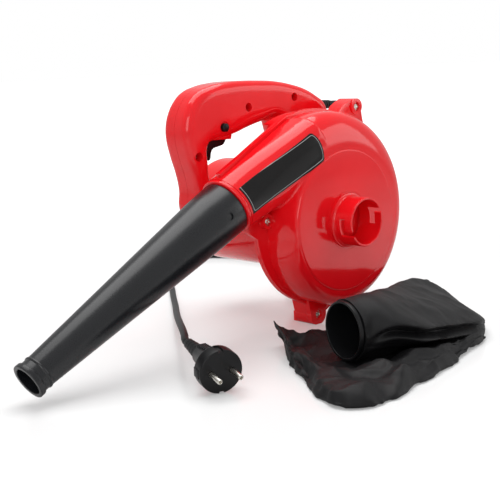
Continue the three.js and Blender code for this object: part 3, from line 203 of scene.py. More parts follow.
# %% Selecting and drawing
def only(*objects):
    """Leaves edit mode and selects just these objects; the last one is the active one."""
    if bpy.context.object and bpy.context.object.mode != "OBJECT":
        bpy.ops.object.mode_set(mode="OBJECT")
    bpy.ops.object.select_all(action="DESELECT")
    for obj in objects:
        obj.select_set(True)
    if objects:
        bpy.context.view_layer.objects.active = objects[-1]


def edit(obj, select="SELECT"):
    """Opens edit mode on an object, with all or nothing of it selected."""
    only(obj)
    bpy.ops.object.mode_set(mode="EDIT")
    bpy.ops.mesh.select_all(action=select)


def draw(name, points, closed=False):
    """A chain of edges through the points, which are in metres; closed adds the last edge."""
    only()
    bpy.ops.mesh.primitive_plane_add(size=MM)
    obj = bpy.context.object
    obj.name = name
    bpy.ops.object.mode_set(mode="EDIT")
    bpy.ops.mesh.merge(type="CENTER")
    bpy.ops.transform.translate(value=points[0])
    for here, following in zip(points, points[1:]):
        bpy.ops.mesh.extrude_region_move(TRANSFORM_OT_translate={"value": following - here})
    if closed:
        bpy.ops.mesh.select_all(action="SELECT")
        bpy.ops.mesh.edge_face_add()
    bpy.ops.object.mode_set(mode="OBJECT")
    return obj


# %% [markdown]
# Round pieces are drawn as half a section and spun about their axis, as on a lathe. Flat pieces are drawn
# as an outline, filled and extruded. `settle` leaves each finished object at the origin, with its place in
# its mesh, as the working model's own nodes are.

# %% Turning, extruding and settling
def settle(obj):
    only(obj)
    bpy.ops.object.transform_apply(location=True, rotation=True, scale=True)
    return obj


def close_up(obj):
    """Merges doubled vertices and turns the faces outwards."""
    edit(obj)
    bpy.ops.mesh.remove_doubles(threshold=0.01 * MM)
    bpy.ops.mesh.normals_make_consistent(inside=False)
    bpy.ops.object.mode_set(mode="OBJECT")
    return obj


def turn(name, profile, steps=96):
    """A body spun about the Y axis from [radius, y] points; it is closed where both ends are on the axis
    or the profile comes back to its start."""
    obj = draw(name, [Vector((radius, y, 0)) * MM for radius, y in profile])
    edit(obj)
    bpy.ops.mesh.spin(steps=steps, angle=math.tau, center=(0, 0, 0), axis=(0, 1, 0))
    return close_up(obj)


def arc(middle, radius, start, end, steps=5):
    """Points of an arc in [radius, y] about a middle, between two angles in degrees."""
    points = []
    for i in range(steps + 1):
        dx, dy = polar(radius, start + (end - start) * i / steps)
        points.append((middle[0] + dx, middle[1] + dy))
    return points


def moved(obj, matrix):
    obj.matrix_world = matrix
    return settle(obj)


def slab(name, outline, y0, y1):
    """A flat piece with its outline in XZ, from y0 to y1."""
    obj = draw(name, [at(x, y0, z) for x, z in outline], closed=True)
    edit(obj)
    bpy.ops.mesh.extrude_region_move(TRANSFORM_OT_translate={"value": Vector((0, y1 - y0, 0)) * MM})
    bpy.ops.mesh.select_all(action="SELECT")
    bpy.ops.mesh.normals_make_consistent(inside=False)
    bpy.ops.object.mode_set(mode="OBJECT")
    return obj


def peg(name, x, z, radius, y0, y1, sides=48):
    """A round bar along Y."""
    only()
    bpy.ops.mesh.primitive_cylinder_add(
        vertices=sides, radius=radius * MM, depth=(y1 - y0) * MM,
        location=at(x, (y0 + y1) / 2, z), rotation=(math.pi / 2, 0, 0))
    bpy.context.object.name = name
    return settle(bpy.context.object)


def block(name, low, high):
    """A box between two corners of the fan frame."""
    only()
    low, high = at(*low), at(*high)
    bpy.ops.mesh.primitive_cube_add(size=1, location=(low + high) / 2, scale=high - low)
    bpy.context.object.name = name
    return settle(bpy.context.object)


# %% [markdown]
# Modifiers are added and applied at once. `cut` and `fuse` are booleans; `blend_shapes` melts overlapping
# shapes into one skin: a voxel remesh joins them, and smoothing rounds every edge as a mould would.

# %% Modifiers
def modify(obj, kind, **settings):
    modifier = obj.modifiers.new(kind.lower(), kind)
    for name, value in settings.items():
        setattr(modifier, name, value)
    only(obj)
    bpy.ops.object.modifier_apply(modifier=modifier.name)
    return obj


def boolean(obj, tools, operation):
    for tool in tools:
        modify(obj, "BOOLEAN", object=tool, operation=operation, solver="MANIFOLD")
        bpy.data.objects.remove(tool)
    return obj


def cut(obj, *tools):
    return boolean(obj, tools, "DIFFERENCE")


def fuse(obj, *tools):
    return boolean(obj, tools, "UNION")


def group(*objects):
    """Makes one object of several, which keep their own surfaces; the first one gives the name."""
    only(*reversed(objects))
    bpy.ops.object.join()
    return objects[0]


def blend_shapes(objects, voxel, rounds, factor=0.5):
    obj = group(*objects)
    modify(obj, "REMESH", mode="VOXEL", voxel_size=voxel * MM)
    modify(obj, "SMOOTH", factor=factor, iterations=rounds)
    return obj


def soften(obj, width, segments=3, angle=35):
    """Rounds the sharp edges of a piece."""
    return modify(obj, "BEVEL", width=width * MM, segments=segments, limit_method="ANGLE",
                  angle_limit=math.radians(angle), harden_normals=False)


def shade(obj, angle=40):
    only(obj)
    bpy.ops.object.shade_smooth_by_angle(angle=math.radians(angle))
    return obj


print("modelling tools ready")

# %% [markdown]
# ## The scroll casing
#
# The casing of a radial fan is a snail: its wall keeps an even radius at first and then widens, until it runs
# out straight into the outlet duct. A grid primitive has just the right topology, so its vertices are laid
# on to the snail's surface, one row of the grid for each direction about the axis. The duct is a second
# grid, wrapped round from a rounded rectangle to a circle.

# %% Shape of the scroll and the duct
FRONT_Y, SHOULDER_Y, BACK_Y = -43, -20, 26
DISC_R, SCROLL_R0, SCROLL_R1 = 72, 76, 112
STEADY, FULLNESS = 190, 0.72
DUCT_SLOPE, DUCT_P, DUCT_HALF = 27, 81, 31
DUCT_START, DUCT_END, MOUTH_R = -12, 98, 29.5
WALL = 2.6
REAR_EDGE_Y, REAR_TAPER = 4, 19  # behind this plane the rear shell narrows, away from the outlet
SCROLL_ANGLE = 90 + DUCT_SLOPE
DUCT_X, DUCT_Z = -math.cos(math.radians(DUCT_SLOPE)), -math.sin(math.radians(DUCT_SLOPE))


def wall_radius(degrees):
    share = max(0, (degrees - STEADY) / (SCROLL_ANGLE + 360 - STEADY))
    return SCROLL_R0 + (SCROLL_R1 - SCROLL_R0) * share ** FULLNESS


def ease(value, low, high):
    """Rises smoothly from 0 to 1 as the value goes from low to high."""
    t = min(max((value - low) / (high - low), 0), 1)
    return t * t * (3 - 2 * t)


def rear_taper(degrees):
    return REAR_TAPER * (1 - ease(degrees, 300, 450))


def disc_step(degrees):
    """How far the skin stands back behind the flat disc: most at the lower left, least at the duct."""
    return 0.25 + 1.15 * ease(degrees, 175, 235) * (1 - 0.75 * ease(degrees, 330, 430))


def duct_point(along, out):
    """Place in XZ of a point of the duct: along its axis, and out from the fan axis."""
    return along * DUCT_X + out * DUCT_Z, along * DUCT_Z - out * DUCT_X


def grid(name, columns, rows, place):
    """A grid primitive whose vertices are laid on a surface; place takes two shares from 0 to 1."""
    only()
    bpy.ops.mesh.primitive_grid_add(x_subdivisions=columns, y_subdivisions=rows, size=2)
    obj = bpy.context.object
    obj.name = name
    for vertex in obj.data.vertices:
        vertex.co = place((vertex.co.x + 1) / 2, (vertex.co.y + 1) / 2)
    return close_up(obj)


def fill_ends(obj):
    edit(obj, "DESELECT")
    bpy.ops.mesh.select_mode(type="EDGE")
    bpy.ops.mesh.select_non_manifold()
    bpy.ops.mesh.fill_holes(sides=0)
    bpy.ops.mesh.select_mode(type="VERT")
    return close_up(obj)


# %% [markdown]
# The scroll's section runs from the axis over the flat disc, round the shoulder, down the wall and back to
# the axis behind. The last row of the grid repeats the first one, which closes the snail's step.

# %% Scroll and duct as closed bodies
SHOULDER_STEPS = 16


def scroll(name, inset=0, back=BACK_Y, stations=180, back_round=4):
    seam = SCROLL_ANGLE - 0.5 * inset
    disc = DISC_R - inset

    def section(degrees):
        wall = wall_radius(degrees) - inset
        front = FRONT_Y + inset + disc_step(degrees)
        narrow = rear_taper(degrees) * (back - REAR_EDGE_Y) / (BACK_Y - REAR_EDGE_Y)
        points = [(0, front), (disc * 0.5, front), (disc * 0.85, front)]
        for k in range(SHOULDER_STEPS + 1):
            t = math.pi / 2 * k / SHOULDER_STEPS
            points.append((
                disc + (wall - disc) * math.sin(t) ** 0.8,
                front + (SHOULDER_Y - front) * (1 - math.cos(t)),
            ))
        points += [(wall, (SHOULDER_Y + REAR_EDGE_Y) / 2), (wall, REAR_EDGE_Y)]
        wall -= narrow
        for k in range(5):
            t = math.pi / 2 * k / 4
            points.append((wall - back_round * (1 - math.cos(t)), back - back_round * (1 - math.sin(t))))
        return points + [(wall * 0.5, back), (0, back)]

    rows = len(section(seam)) - 1

    def place(u, v):
        station = round(u * (stations + 1)) % (stations + 1)
        degrees = seam + 360 * station / stations
        radius, y = section(degrees)[round(v * rows)]
        x, z = polar(radius, degrees)
        return at(x, y, z)

    return grid(name, stations + 1, rows, place)


def duct(name, inset=0, end=DUCT_END, stations=24, around=64):
    start = DUCT_START + inset

    def place(u, v):
        along = start + (end - start) * u
        share = ease(u, 0, 1)
        y0 = FRONT_Y + 1 + (-MOUTH_R - FRONT_Y - 1) * share + inset
        y1 = BACK_Y - 1 + (MOUTH_R - BACK_Y + 1) * share - inset
        half = DUCT_HALF + (MOUTH_R - DUCT_HALF) * share - inset
        power = 2 / (3.6 + (2 - 3.6) * share)
        turned = math.tau * round(v * around) / around
        c, s = math.cos(turned), math.sin(turned)
        across = math.copysign(abs(c) ** power, c) * (y1 - y0) / 2
        out = DUCT_P + math.copysign(abs(s) ** power, s) * half
        x, z = duct_point(along, out)
        return at(x, (y0 + y1) / 2 + across, z)

    return fill_ends(grid(name, stations, around, place))


# %% [markdown]
# Scroll and duct are melted together, so the duct's top edge runs on into the scroll's shoulder without a
# crease. The flat disc on the front is a turned plate of its own, which keeps its rounded rim crisp. A duct
# of a smaller size is taken out of the middle, and the same skin is cut at the seam, once for the front
# cover and once for the rear shell.
#
# A smaller scroll should be taken out too, but that cut does nothing yet: the manifold solver skips a tool
# that isn't closed, with a warning and no error, so the casing is still solid inside. The likely reason is
# that `disc_step` moves the tool's points on the fan axis, and they don't merge into one pole.

# %% Both casing shells
SKIN_VOXEL, SKIN_ROUNDS = 1.25, 6
SPLIT = 0.15
FAR = 400
OVERRUN = 4  # how far the duct is made too long before its mouth is cut flat
DISC_EDGE, DISC_T = 1.7, 2.2


def copy_of(obj, name):
    only(obj)
    bpy.ops.object.duplicate()
    bpy.context.object.name = name
    return bpy.context.object


disc_profile = [
    (0, FRONT_Y), *arc((DISC_R - DISC_EDGE, FRONT_Y + DISC_EDGE), DISC_EDGE, 270, 360, 6),
    (DISC_R, FRONT_Y + DISC_T), (0, FRONT_Y + DISC_T),
]
snail = blend_shapes([scroll("snail"), duct("snail_duct", 0, DUCT_END + OVERRUN)], SKIN_VOXEL, SKIN_ROUNDS)
beyond = [duct_point(along, out) for along, out in (
    (DUCT_END, 0), (DUCT_END, 160), (DUCT_END + 40, 160), (DUCT_END + 40, 0))]
cut(snail, slab("mouth_cut", beyond, -80, 60))
fuse(snail, moved(turn("disc", disc_profile, 160), Matrix.Translation(FAN)))
cut(snail, scroll("hollow", WALL, BACK_Y - WALL, stations=90, back_round=2))
cut(snail, duct("duct_hollow", WALL, DUCT_END + OVERRUN, stations=12, around=40))
rear_skin = copy_of(snail, "rear_skin")
front_skin = cut(snail, block("front_side", (-FAR, -SPLIT, -FAR), (FAR, FAR, FAR)))
cut(rear_skin, block("rear_side", (-FAR, -FAR, -FAR), (FAR, SPLIT, FAR)))
print("front skin:", len(front_skin.data.polygons), "faces; rear skin:", len(rear_skin.data.polygons))

# %% [markdown]
# ### Flange and lugs
#
# A thin flange runs round the seam on both shells, and three screws hold them together. Each screw goes
# through a round lug; the upper right one stands on a web, and the bottom one is the foot on which the
# blower stands. The flange is an outline that is extruded, and the lugs are fused to it.

# %% Flange outline and lugs
FLANGE_R, FLANGE_LIP, FLANGE_T = 90, 3, 3
LUGS = {  # angle about the fan axis, how far out from the wall, radius, front face, back face
    "left": (175.4, 4.3, 7.5, -9, 14),
    "bottom": (264.93, 12.2, 11.5, -7, 17),
    "top_right": (421.6, 19.3, 8.5, -7, 16),
}
SOLE_HALF, SOLE_BACK = 4.7, 25
TOP_WEB = [
    (-31, -15), (-24, -4), (-19, 1.5), (-11, 5.8), (0, 8.5), (8.3, 0), (11, -14), (15, -27), (-10, -27),
]
BOTTOM_WEB = [(-15.5, 18), (-11.4, 2), (-10, -5.7), (10, -5.7), (11.4, 2), (24, 8), (14, 18)]
HEAD_R, SEAT = 4, 2.8


def lug_spot(name):
    angle, out = LUGS[name][:2]
    return polar(wall_radius(angle) + out, angle)


def flange(name, y0, y1):
    rim = []
    for i in range(181):
        degrees = SCROLL_ANGLE + 2 * i
        rim.append(polar(max(FLANGE_R, wall_radius(degrees) + FLANGE_LIP), degrees))
    lip, inner, outer = DUCT_END - 4, DUCT_P - DUCT_HALF, DUCT_P + DUCT_HALF + FLANGE_LIP
    strip = [
        duct_point(DUCT_START, inner - 4), duct_point(DUCT_START, outer),
        duct_point(lip, outer - 1), duct_point(lip, inner - 2),
    ]
    corner = [(-88, -12), duct_point(lip, inner - 2), duct_point(30, inner)]
    plate = slab(name, rim[:-1], y0, y1)
    return fuse(plate, slab("strip", strip, y0, y1), slab("corner", corner, y0, y1))


def lugs(plate, side):
    """Adds the lugs with their webs and the leg on one side of the seam: side is 0 in front, 1 behind."""
    def faces(name, set_back):
        seam = SPLIT if side else -SPLIT
        return sorted((seam, LUGS[name][3 + side] + (-set_back if side else set_back)))

    for name, outline, set_back in (("top_right", TOP_WEB, 2), ("bottom", BOTTOM_WEB, 0)):
        x, z = lug_spot(name)
        fuse(plate, slab("web", [(x + dx, z + dz) for dx, dz in outline], *faces(name, set_back)))
    for name in LUGS:
        fuse(plate, peg("lug", *lug_spot(name), LUGS[name][2], *faces(name, 0)))
    x, z = lug_spot("bottom")
    y0, y1 = (SPLIT, SOLE_BACK) if side else faces("bottom", 0)
    fuse(plate, block("leg", (x - SOLE_HALF, y0, -FLOOR_TO_AXIS - 1), (x + SOLE_HALF, y1, z)))
    return cut(plate, block("floor_cut", (-FAR, -FAR, -FAR), (FAR, FAR, -FLOOR_TO_AXIS)))


# %% [markdown]
# The duct's hollow is taken out of the flange. The scroll's hollow should be as well, but it is skipped
# like the one above. The screw heads sit in round seats, and a bevel breaks all the edges, because a moulded
# edge is never quite sharp.

# %% Front cover without its collar
front_flange = lugs(flange("front_flange", -FLANGE_T, -SPLIT), 0)
cut(
    front_flange, scroll("hollow", WALL, 20, stations=90),
    duct("hollow", WALL, DUCT_END + OVERRUN, 12, 40))
soften(front_flange, 0.7)
for lug_name in LUGS:
    spot_x, spot_z = lug_spot(lug_name)
    lug_front = LUGS[lug_name][3]
    cut(front_flange, peg("seat", spot_x, spot_z, HEAD_R + 0.5, lug_front - 5, lug_front + SEAT))
rear_flange = lugs(flange("rear_flange", SPLIT, FLANGE_T), 1)
cut(
    rear_flange, scroll("hollow", WALL, BACK_Y - WALL, stations=90),
    duct("hollow", WALL, DUCT_END + OVERRUN, 12, 40))
soften(rear_flange, 0.7)
print("flanges:", len(front_flange.data.polygons), len(rear_flange.data.polygons), "faces")

# %% [markdown]
# ### Inlet collar
#
# Air comes in through a round collar on the disc, on which the bag or the nozzle can be hung with a quarter
# turn. Two L-shaped slots in its wall take the pegs of what is pushed on. The section is drawn with its
# fillet at the foot and rounded lips, and the slots are cut through the wall. The bore behind it goes 6 mm
# into the disc and ends there, as long as the casing is solid.

# %% Collar with its slots
COLLAR_R, COLLAR_WALL, COLLAR_LENGTH = 24.7, 2.4, 25
SLOT_WIDTH, SLOT_DEPTH, SLOT_TURN = 6.4, 15, 30


def wedge(name, inner, outer, start, end, y0, y1, steps=10):
    """A sector of a ring about the Y axis, which cuts a slot."""
    outline = [polar(outer, start + (end - start) * i / steps) for i in range(steps + 1)]
    outline += [polar(inner, end + (start - end) * i / steps) for i in range(steps + 1)]
    return slab(name, outline, y0, y1)


def bayonet_slots(obj, angles, turning, rim, into):
    """Cuts L-shaped slots: in from the rim, then round. into is +1 where the depth runs towards +Y."""
    half = math.degrees(SLOT_WIDTH / 2 / COLLAR_R)
    for angle in angles:
        deep = rim + into * SLOT_DEPTH
        sides = (angle - half, angle + half)
        legs = [
            (*sides, *sorted((rim - into, deep))),
            (*sorted((angle - half * turning, angle + turning * (SLOT_TURN + half))),
             *sorted((deep, deep - into * SLOT_WIDTH))),
        ]
        for start, end, y0, y1 in legs:
            tool = wedge("slot", COLLAR_R - COLLAR_WALL - 2, COLLAR_R + 2, start, end, y0, y1)
            cut(obj, moved(tool, Matrix.Translation(-FAN)))
    return obj


rim = FRONT_Y - COLLAR_LENGTH
collar_inner = COLLAR_R - COLLAR_WALL
collar_profile = [(collar_inner, FRONT_Y + 3), (collar_inner, rim + 0.8)]
collar_profile += arc((collar_inner + 0.8, rim + 0.8), 0.8, 180, 270, 4)
collar_profile += arc((COLLAR_R - 0.8, rim + 0.8), 0.8, 270, 360, 4)
collar_profile += arc((COLLAR_R + 3, FRONT_Y - 5), 3, 180, 90, 6)
collar_profile += arc((COLLAR_R + 3.5, FRONT_Y - 0.5), 1.5, 90, 0, 4)
collar_profile += [(COLLAR_R + 5, FRONT_Y + 3), (collar_inner, FRONT_Y + 3)]
collar = turn("collar", collar_profile, 128)
bayonet_slots(collar, (205, 25), -1, rim, 1)
moved(collar, Matrix.Translation(FAN))
cut(front_skin, peg("bore", 0, 0, COLLAR_R, FRONT_Y - 5, FRONT_Y + 6, 96))
print("collar:", len(collar.data.polygons), "faces")

# %% [markdown]
# ### The finished casing shells
#
# Skin, flange and collar are joined into one object for each shell. They touch all along, and on the real
# casing each shell is one moulding. The rear shell's neck for the shaft is left out, as nobody sees it.

# %% Joining the casing
front_cover = shade(group(front_skin, front_flange, collar))
rear_cover = shade(group(rear_skin, rear_flange))
front_cover.name, rear_cover.name = "front_cover", "rear_cover"
print("front cover:", len(front_cover.data.polygons), "faces; rear cover:", len(rear_cover.data.polygons))

# %% [markdown]
# ### Outlet ring
#
# The mouth of the duct is closed by a ring with a short spigot, which the nozzle is pushed on to. Only the
# rim of the ring shows, as a bright line round the duct's end. It is turned about Y at the origin, and then
# laid on the duct's own axis by a matrix whose Y column is that axis.

# %% Ring in the duct's mouth
DUCT_FRAME = Matrix.Translation(FAN) @ Matrix((
    (DUCT_Z, DUCT_X, 0, DUCT_Z * DUCT_P * MM),
    (0, 0, -1, 0),
    (-DUCT_X, DUCT_Z, 0, -DUCT_X * DUCT_P * MM),
    (0, 0, 0, 1),
))
SOCKET_R = COLLAR_R + FIT
PEG_ANGLE = 80
RING_FACE = DUCT_END + FIT
RING_END = RING_FACE + 4
SPIGOT_END = RING_END + 30
ring_profile = [
    (collar_inner, DUCT_END - 8), (MOUTH_R - 2.3, DUCT_END - 8), (MOUTH_R - 2.3, RING_FACE),
    (MOUTH_R - 0.4, RING_FACE), *arc((MOUTH_R - 0.8, RING_FACE + 0.8), 0.8, -60, 0, 3),
    *arc((MOUTH_R - 1.2, RING_END - 1.2), 1.2, 0, 90), (COLLAR_R, RING_END), (COLLAR_R, SPIGOT_END - 0.6),
    (COLLAR_R - 0.6, SPIGOT_END), (collar_inner, SPIGOT_END), (collar_inner, DUCT_END - 8),
]
outlet_ring = turn("outlet_ring", ring_profile)
bayonet_slots(outlet_ring, (PEG_ANGLE - 30, PEG_ANGLE + 150), 1, SPIGOT_END, -1)
shade(moved(outlet_ring, DUCT_FRAME))
print("outlet ring:", len(outlet_ring.data.polygons), "faces")

# %% [markdown]
# ## Nozzle
#
# The nozzle is a long cone of satin plastic, 256 mm long, with a bead and a flat band before its tip. It is
# one lathe profile, from the socket over the outside to the tip and back through the bore. A round dimple
# marks the place of a peg inside.

# %% Nozzle
NOZZLE_START = RING_END + FIT
NOZZLE_END = NOZZLE_START + 256
ROOT_R, TIP_R, NOZZLE_WALL, SEAT_DEPTH = SOCKET_R + 2.3, 15.2, 2.1, 34
PEG_S = SPIGOT_END - SLOT_DEPTH + SLOT_WIDTH / 2
PEG_R = 2.4
nozzle_profile = [
    (SOCKET_R, NOZZLE_START), (ROOT_R - 1.2, NOZZLE_START),
    *arc((ROOT_R - 1.2, NOZZLE_START + 1.2), 1.2, 270, 360, 4),
    (ROOT_R - 0.6, NOZZLE_START + 30), (TIP_R, NOZZLE_END - 14), (TIP_R + 0.7, NOZZLE_END - 13.3),
    (TIP_R + 0.9, NOZZLE_END - 12.5), (TIP_R + 0.7, NOZZLE_END - 11.7), (TIP_R, NOZZLE_END - 11),
    (TIP_R, NOZZLE_END - 6), (TIP_R + 1.1, NOZZLE_END - 5.2),
    *arc((TIP_R + 0.9, NOZZLE_END - 4.2), 0.6, 290, 360, 3),
    *arc((TIP_R + 0.9, NOZZLE_END - 0.6), 0.6, 0, 90, 3),
    (TIP_R - NOZZLE_WALL + 0.5, NOZZLE_END), (TIP_R - NOZZLE_WALL, NOZZLE_END - 0.5),
    (TIP_R - NOZZLE_WALL, NOZZLE_END - 14), (collar_inner, NOZZLE_START + SEAT_DEPTH + 3),
    (SOCKET_R, NOZZLE_START + SEAT_DEPTH), (SOCKET_R, NOZZLE_START),
]
nozzle = turn("tapered_nozzle", nozzle_profile, 128)


def radial_pin(name, angle, y, radius, r0, r1):
    """A round pin that points away from the Y axis at the origin, between two radii."""
    x, z = polar((r0 + r1) / 2, angle)
    only()
    bpy.ops.mesh.primitive_cylinder_add(
        vertices=32, radius=radius * MM, depth=(r1 - r0) * MM, location=Vector((x, y, z)) * MM,
        rotation=(0, math.radians(90 - angle), 0))
    bpy.context.object.name = name
    return settle(bpy.context.object)


for peg_angle in (PEG_ANGLE, PEG_ANGLE + 180):
    fuse(nozzle, radial_pin("peg", peg_angle, PEG_S, PEG_R, collar_inner + 0.4, SOCKET_R + 1))
cut(nozzle, radial_pin("dimple", PEG_ANGLE, PEG_S, PEG_R + 1.2, ROOT_R - 1.7, ROOT_R + 2))
shade(moved(nozzle, DUCT_FRAME), 32)
print("nozzle:", len(nozzle.data.polygons), "faces")

# %% [markdown]
# ## Label
#
# The label is a film on the flat side of the duct, left blank, with a fine line printed just inside its
# edge. A grid is pressed on to the cover by the Shrinkwrap modifier, so the film follows its curve. It gets
# its thickness from Solidify, and its outline trims it like a punch.

# %% Label film
LABEL_S0, LABEL_S1, LABEL_P0, LABEL_P1 = 0, 96, 72, 103
LABEL_BULGE, LABEL_SKIN = 4, 0.5


def label_outline():
    """Straight edges, and a bulging end towards the disc."""
    corners = [duct_point(LABEL_S1, LABEL_P0), duct_point(LABEL_S1, LABEL_P1 - 3), duct_point(2, LABEL_P1)]
    for i in range(9):
        across = 1 - i / 4
        out = (LABEL_P0 + LABEL_P1) / 2 + across * (LABEL_P1 - LABEL_P0 - 2) / 2
        corners.append(duct_point(LABEL_S0 - LABEL_BULGE * (1 - across * across), out))
    return corners + [duct_point(2, LABEL_P0)]


def flat_film(u, v):
    along = LABEL_S0 - 8 + (LABEL_S1 + 1.2 - (LABEL_S0 - 8)) * u
    x, z = duct_point(along, LABEL_P0 - 6 + (LABEL_P1 - LABEL_P0 + 12) * v)
    return at(x, -80, z)


label_film = grid("label_film", 80, 32, flat_film)
modify(label_film, "SHRINKWRAP", target=front_cover, wrap_method="PROJECT", use_project_y=True,
       use_negative_direction=True, use_positive_direction=True, offset=LABEL_SKIN * MM)
modify(label_film, "SMOOTH", factor=0.5, iterations=12)
modify(label_film, "SOLIDIFY", thickness=0.25 * MM, offset=0)
close_up(label_film)
boolean(label_film, [slab("punch", label_outline(), -100, 0)], "INTERSECT")
shade(label_film, 30)
print("label:", len(label_film.data.polygons), "faces")

# %% [markdown]
# ## Handle and motor housing
#
# Handle and motor housing are moulded together, in two halves that meet in the middle of the handle. The
# handle is a flat curve with a second curve inside it for the fingers; the curve's bevel gives the round
# edges that make it good to hold. The motor housing is turned. Both are melted into one body.

# %% Outlines of the handle
HANDLE_Y = (GRIP_Y - 19, GRIP_Y + 19)
HANDLE_EDGE, SHELL = 8.5, 2.8
HANDLE_OUTLINE = [
    (-131, 22), (-130, 37.5), (-133, 54), (-139, 73), (-143, 91), (-142.5, 104), (-138.5, 116), (-131, 127),
    (-121, 135), (-105, 140.2), (-86.6, 142.8), (-60, 143.6), (-38.6, 143), (-16.6, 141.6), (10.4, 137),
    (30, 131.5), (46, 124), (58, 116), (62, 106), (60, 92), (56, 66), (48, 24), (30, 2), (-30, -6),
    (-80, -8), (-108, -5), (-124, 6),
]
FINGER_HOLE = [
    (-112, 84), (-114, 66), (-111, 46), (-99, 36), (-78, 38), (-56, 50), (-34, 60), (-16, 66), (-8, 76),
    (-9, 92), (-16, 104.5), (-36, 101.5), (-58, 96.5), (-74, 92), (-92, 88.5), (-106, 86.5),
]
UPRIGHT = Matrix.Rotation(math.pi / 2, 4, "X")


def curved_plate(name, outlines, y0, y1, edge, inset=0):
    """A plate between two planes, with smooth outlines in XZ and round edges, made of a flat curve."""
    only()
    bpy.ops.curve.primitive_bezier_circle_add()
    obj = bpy.context.object
    obj.name = name
    curve = obj.data
    curve.dimensions, curve.fill_mode = "2D", "BOTH"
    curve.splines.clear()
    for outline in outlines:
        outline_spline = curve.splines.new("BEZIER")
        outline_spline.bezier_points.add(len(outline) - 1)
        for bezier_point, (x, z) in zip(outline_spline.bezier_points, outline):
            bezier_point.co = Vector((x, z, 0)) * MM
            bezier_point.handle_left_type = bezier_point.handle_right_type = "AUTO"
        outline_spline.use_cyclic_u = True
    curve.resolution_u = 8
    curve.extrude = ((y1 - y0) / 2 - edge) * MM
    curve.bevel_depth, curve.bevel_resolution = (edge - inset) * MM, 6
    curve.offset = -edge * MM
    only(obj)
    bpy.ops.object.convert(target="MESH")
    moved(obj, Matrix.Translation(at(0, (y0 + y1) / 2, 0)) @ UPRIGHT)
    return close_up(obj)


# %% [markdown]
# The motor housing is a drum whose far end is rounded. Hollow shapes of a smaller size are taken out of
# both, so that the slots and the trigger's opening look into a real shell.

# %% Housing body
MOTOR_R, MOTOR_START, MOTOR_END, END_ROUND = 57, BACK_Y + FIT, 150, 14


def motor_drum(name, inset):
    r, end, corner = MOTOR_R - inset, MOTOR_END - inset, END_ROUND - inset
    profile = [(0, MOTOR_START + inset), (r, MOTOR_START + inset)]
    profile += [(y0, y1) for y0, y1 in arc((r - corner, end - corner), corner, 0, 90, 10)]
    return moved(turn(name, profile + [(0, end)], 112), Matrix.Translation(FAN))


HOUSING_VOXEL = 1.3
housing = blend_shapes(
    [curved_plate("housing", [HANDLE_OUTLINE, FINGER_HOLE], *HANDLE_Y, HANDLE_EDGE), motor_drum("drum", 0)],
    HOUSING_VOXEL, 5)
hollow = blend_shapes(
    [curved_plate("hollow", [HANDLE_OUTLINE, FINGER_HOLE], *HANDLE_Y, HANDLE_EDGE, SHELL),
     motor_drum("drum_hollow", SHELL)], 2, 2)
print("housing:", len(housing.data.polygons), "faces")

# %% [markdown]
# A foot under the motor and a low skirt round the trigger are fused on first. Before the body is split,
# everything that goes through it is cut: the opening for the trigger, the wells of three screws, the sink
# and hole of the lock-on button, the hole for the gland and the cooling slots.

# %% Openings in the housing
HANDLE_SCREWS = {"front": (-129, 73), "middle": (-60, 117), "rear": (7, 124)}
WELL_FLOOR = GRIP_Y - 4
BUTTON_SPOT, BUTTON_R = (-94, 99), 4.1
TRIGGER_HALF = 10
FOOT = [(47, -34), (19, -48), (62, -FLOOR_TO_AXIS), (80, -FLOOR_TO_AXIS)]
FOOT_Y = (74, 92)
SKIRT = [(-115, 93), (-115, 87.2), (-81, 86.6), (-79.6, 93)]
SKIRT_HALF = 14


def bar_x(name, y, z, radius, x0, x1, sides=48):
    """A round bar along X."""
    only()
    bpy.ops.mesh.primitive_cylinder_add(
        vertices=sides, radius=radius * MM, depth=(x1 - x0) * MM,
        location=at((x0 + x1) / 2, y, z), rotation=(0, math.pi / 2, 0))
    bpy.context.object.name = name
    return settle(bpy.context.object)


def cooling_slot(angle, radius, y, size):
    """A box that cuts a slot, at an angle about the motor's axis."""
    only()
    bpy.ops.mesh.primitive_cube_add(size=MM, scale=size)
    tool = bpy.context.object
    turned = Matrix.Rotation(math.radians(-angle), 4, "Y") @ Matrix.Translation(Vector((radius, y, 0)) * MM)
    tool.matrix_world = Matrix.Translation(FAN) @ turned @ tool.matrix_world
    return soften(settle(tool), 1.2)


foot = soften(slab("foot", FOOT, *FOOT_Y), 1.5)
skirt = soften(slab("skirt", SKIRT, GRIP_Y - SKIRT_HALF, GRIP_Y + SKIRT_HALF), 0.8)
fuse(housing, foot, skirt)
cut(housing, block("floor_cut", (-FAR, -FAR, -FAR), (FAR, FAR, -FLOOR_TO_AXIS)), hollow)
posts = [peg("post", *spot, 6, HANDLE_Y[0] + 1, HANDLE_Y[1] - 1) for spot in HANDLE_SCREWS.values()]
fuse(housing, *posts)
for spot in HANDLE_SCREWS.values():
    cut(housing, peg("well", *spot, HEAD_R + 0.4, 0, WELL_FLOOR))
cut(housing,
    block("trigger_slot",
          (-111.7, GRIP_Y - TRIGGER_HALF - 0.4, 78), (-83.5, GRIP_Y + TRIGGER_HALF + 0.4, 99)),
    peg("button_hole", *BUTTON_SPOT, BUTTON_R + FIT, 0, WELL_FLOOR),
    peg("button_sink", *BUTTON_SPOT, BUTTON_R + 2, 0, HANDLE_Y[0] + 1.2),
    bar_x("gland_hole", GRIP_Y, GLAND_Z, 4.9, GLAND_X - 6, GLAND_X + 20),
    bar_x("gland_seat", GRIP_Y, GLAND_Z, 6.9, GLAND_X - 2.3, GLAND_X + 0.3),
    peg("shaft_hole", 0, 0, 16, 0, MOTOR_START + 12))
side_slot_y = MOTOR_END - END_ROUND - 14
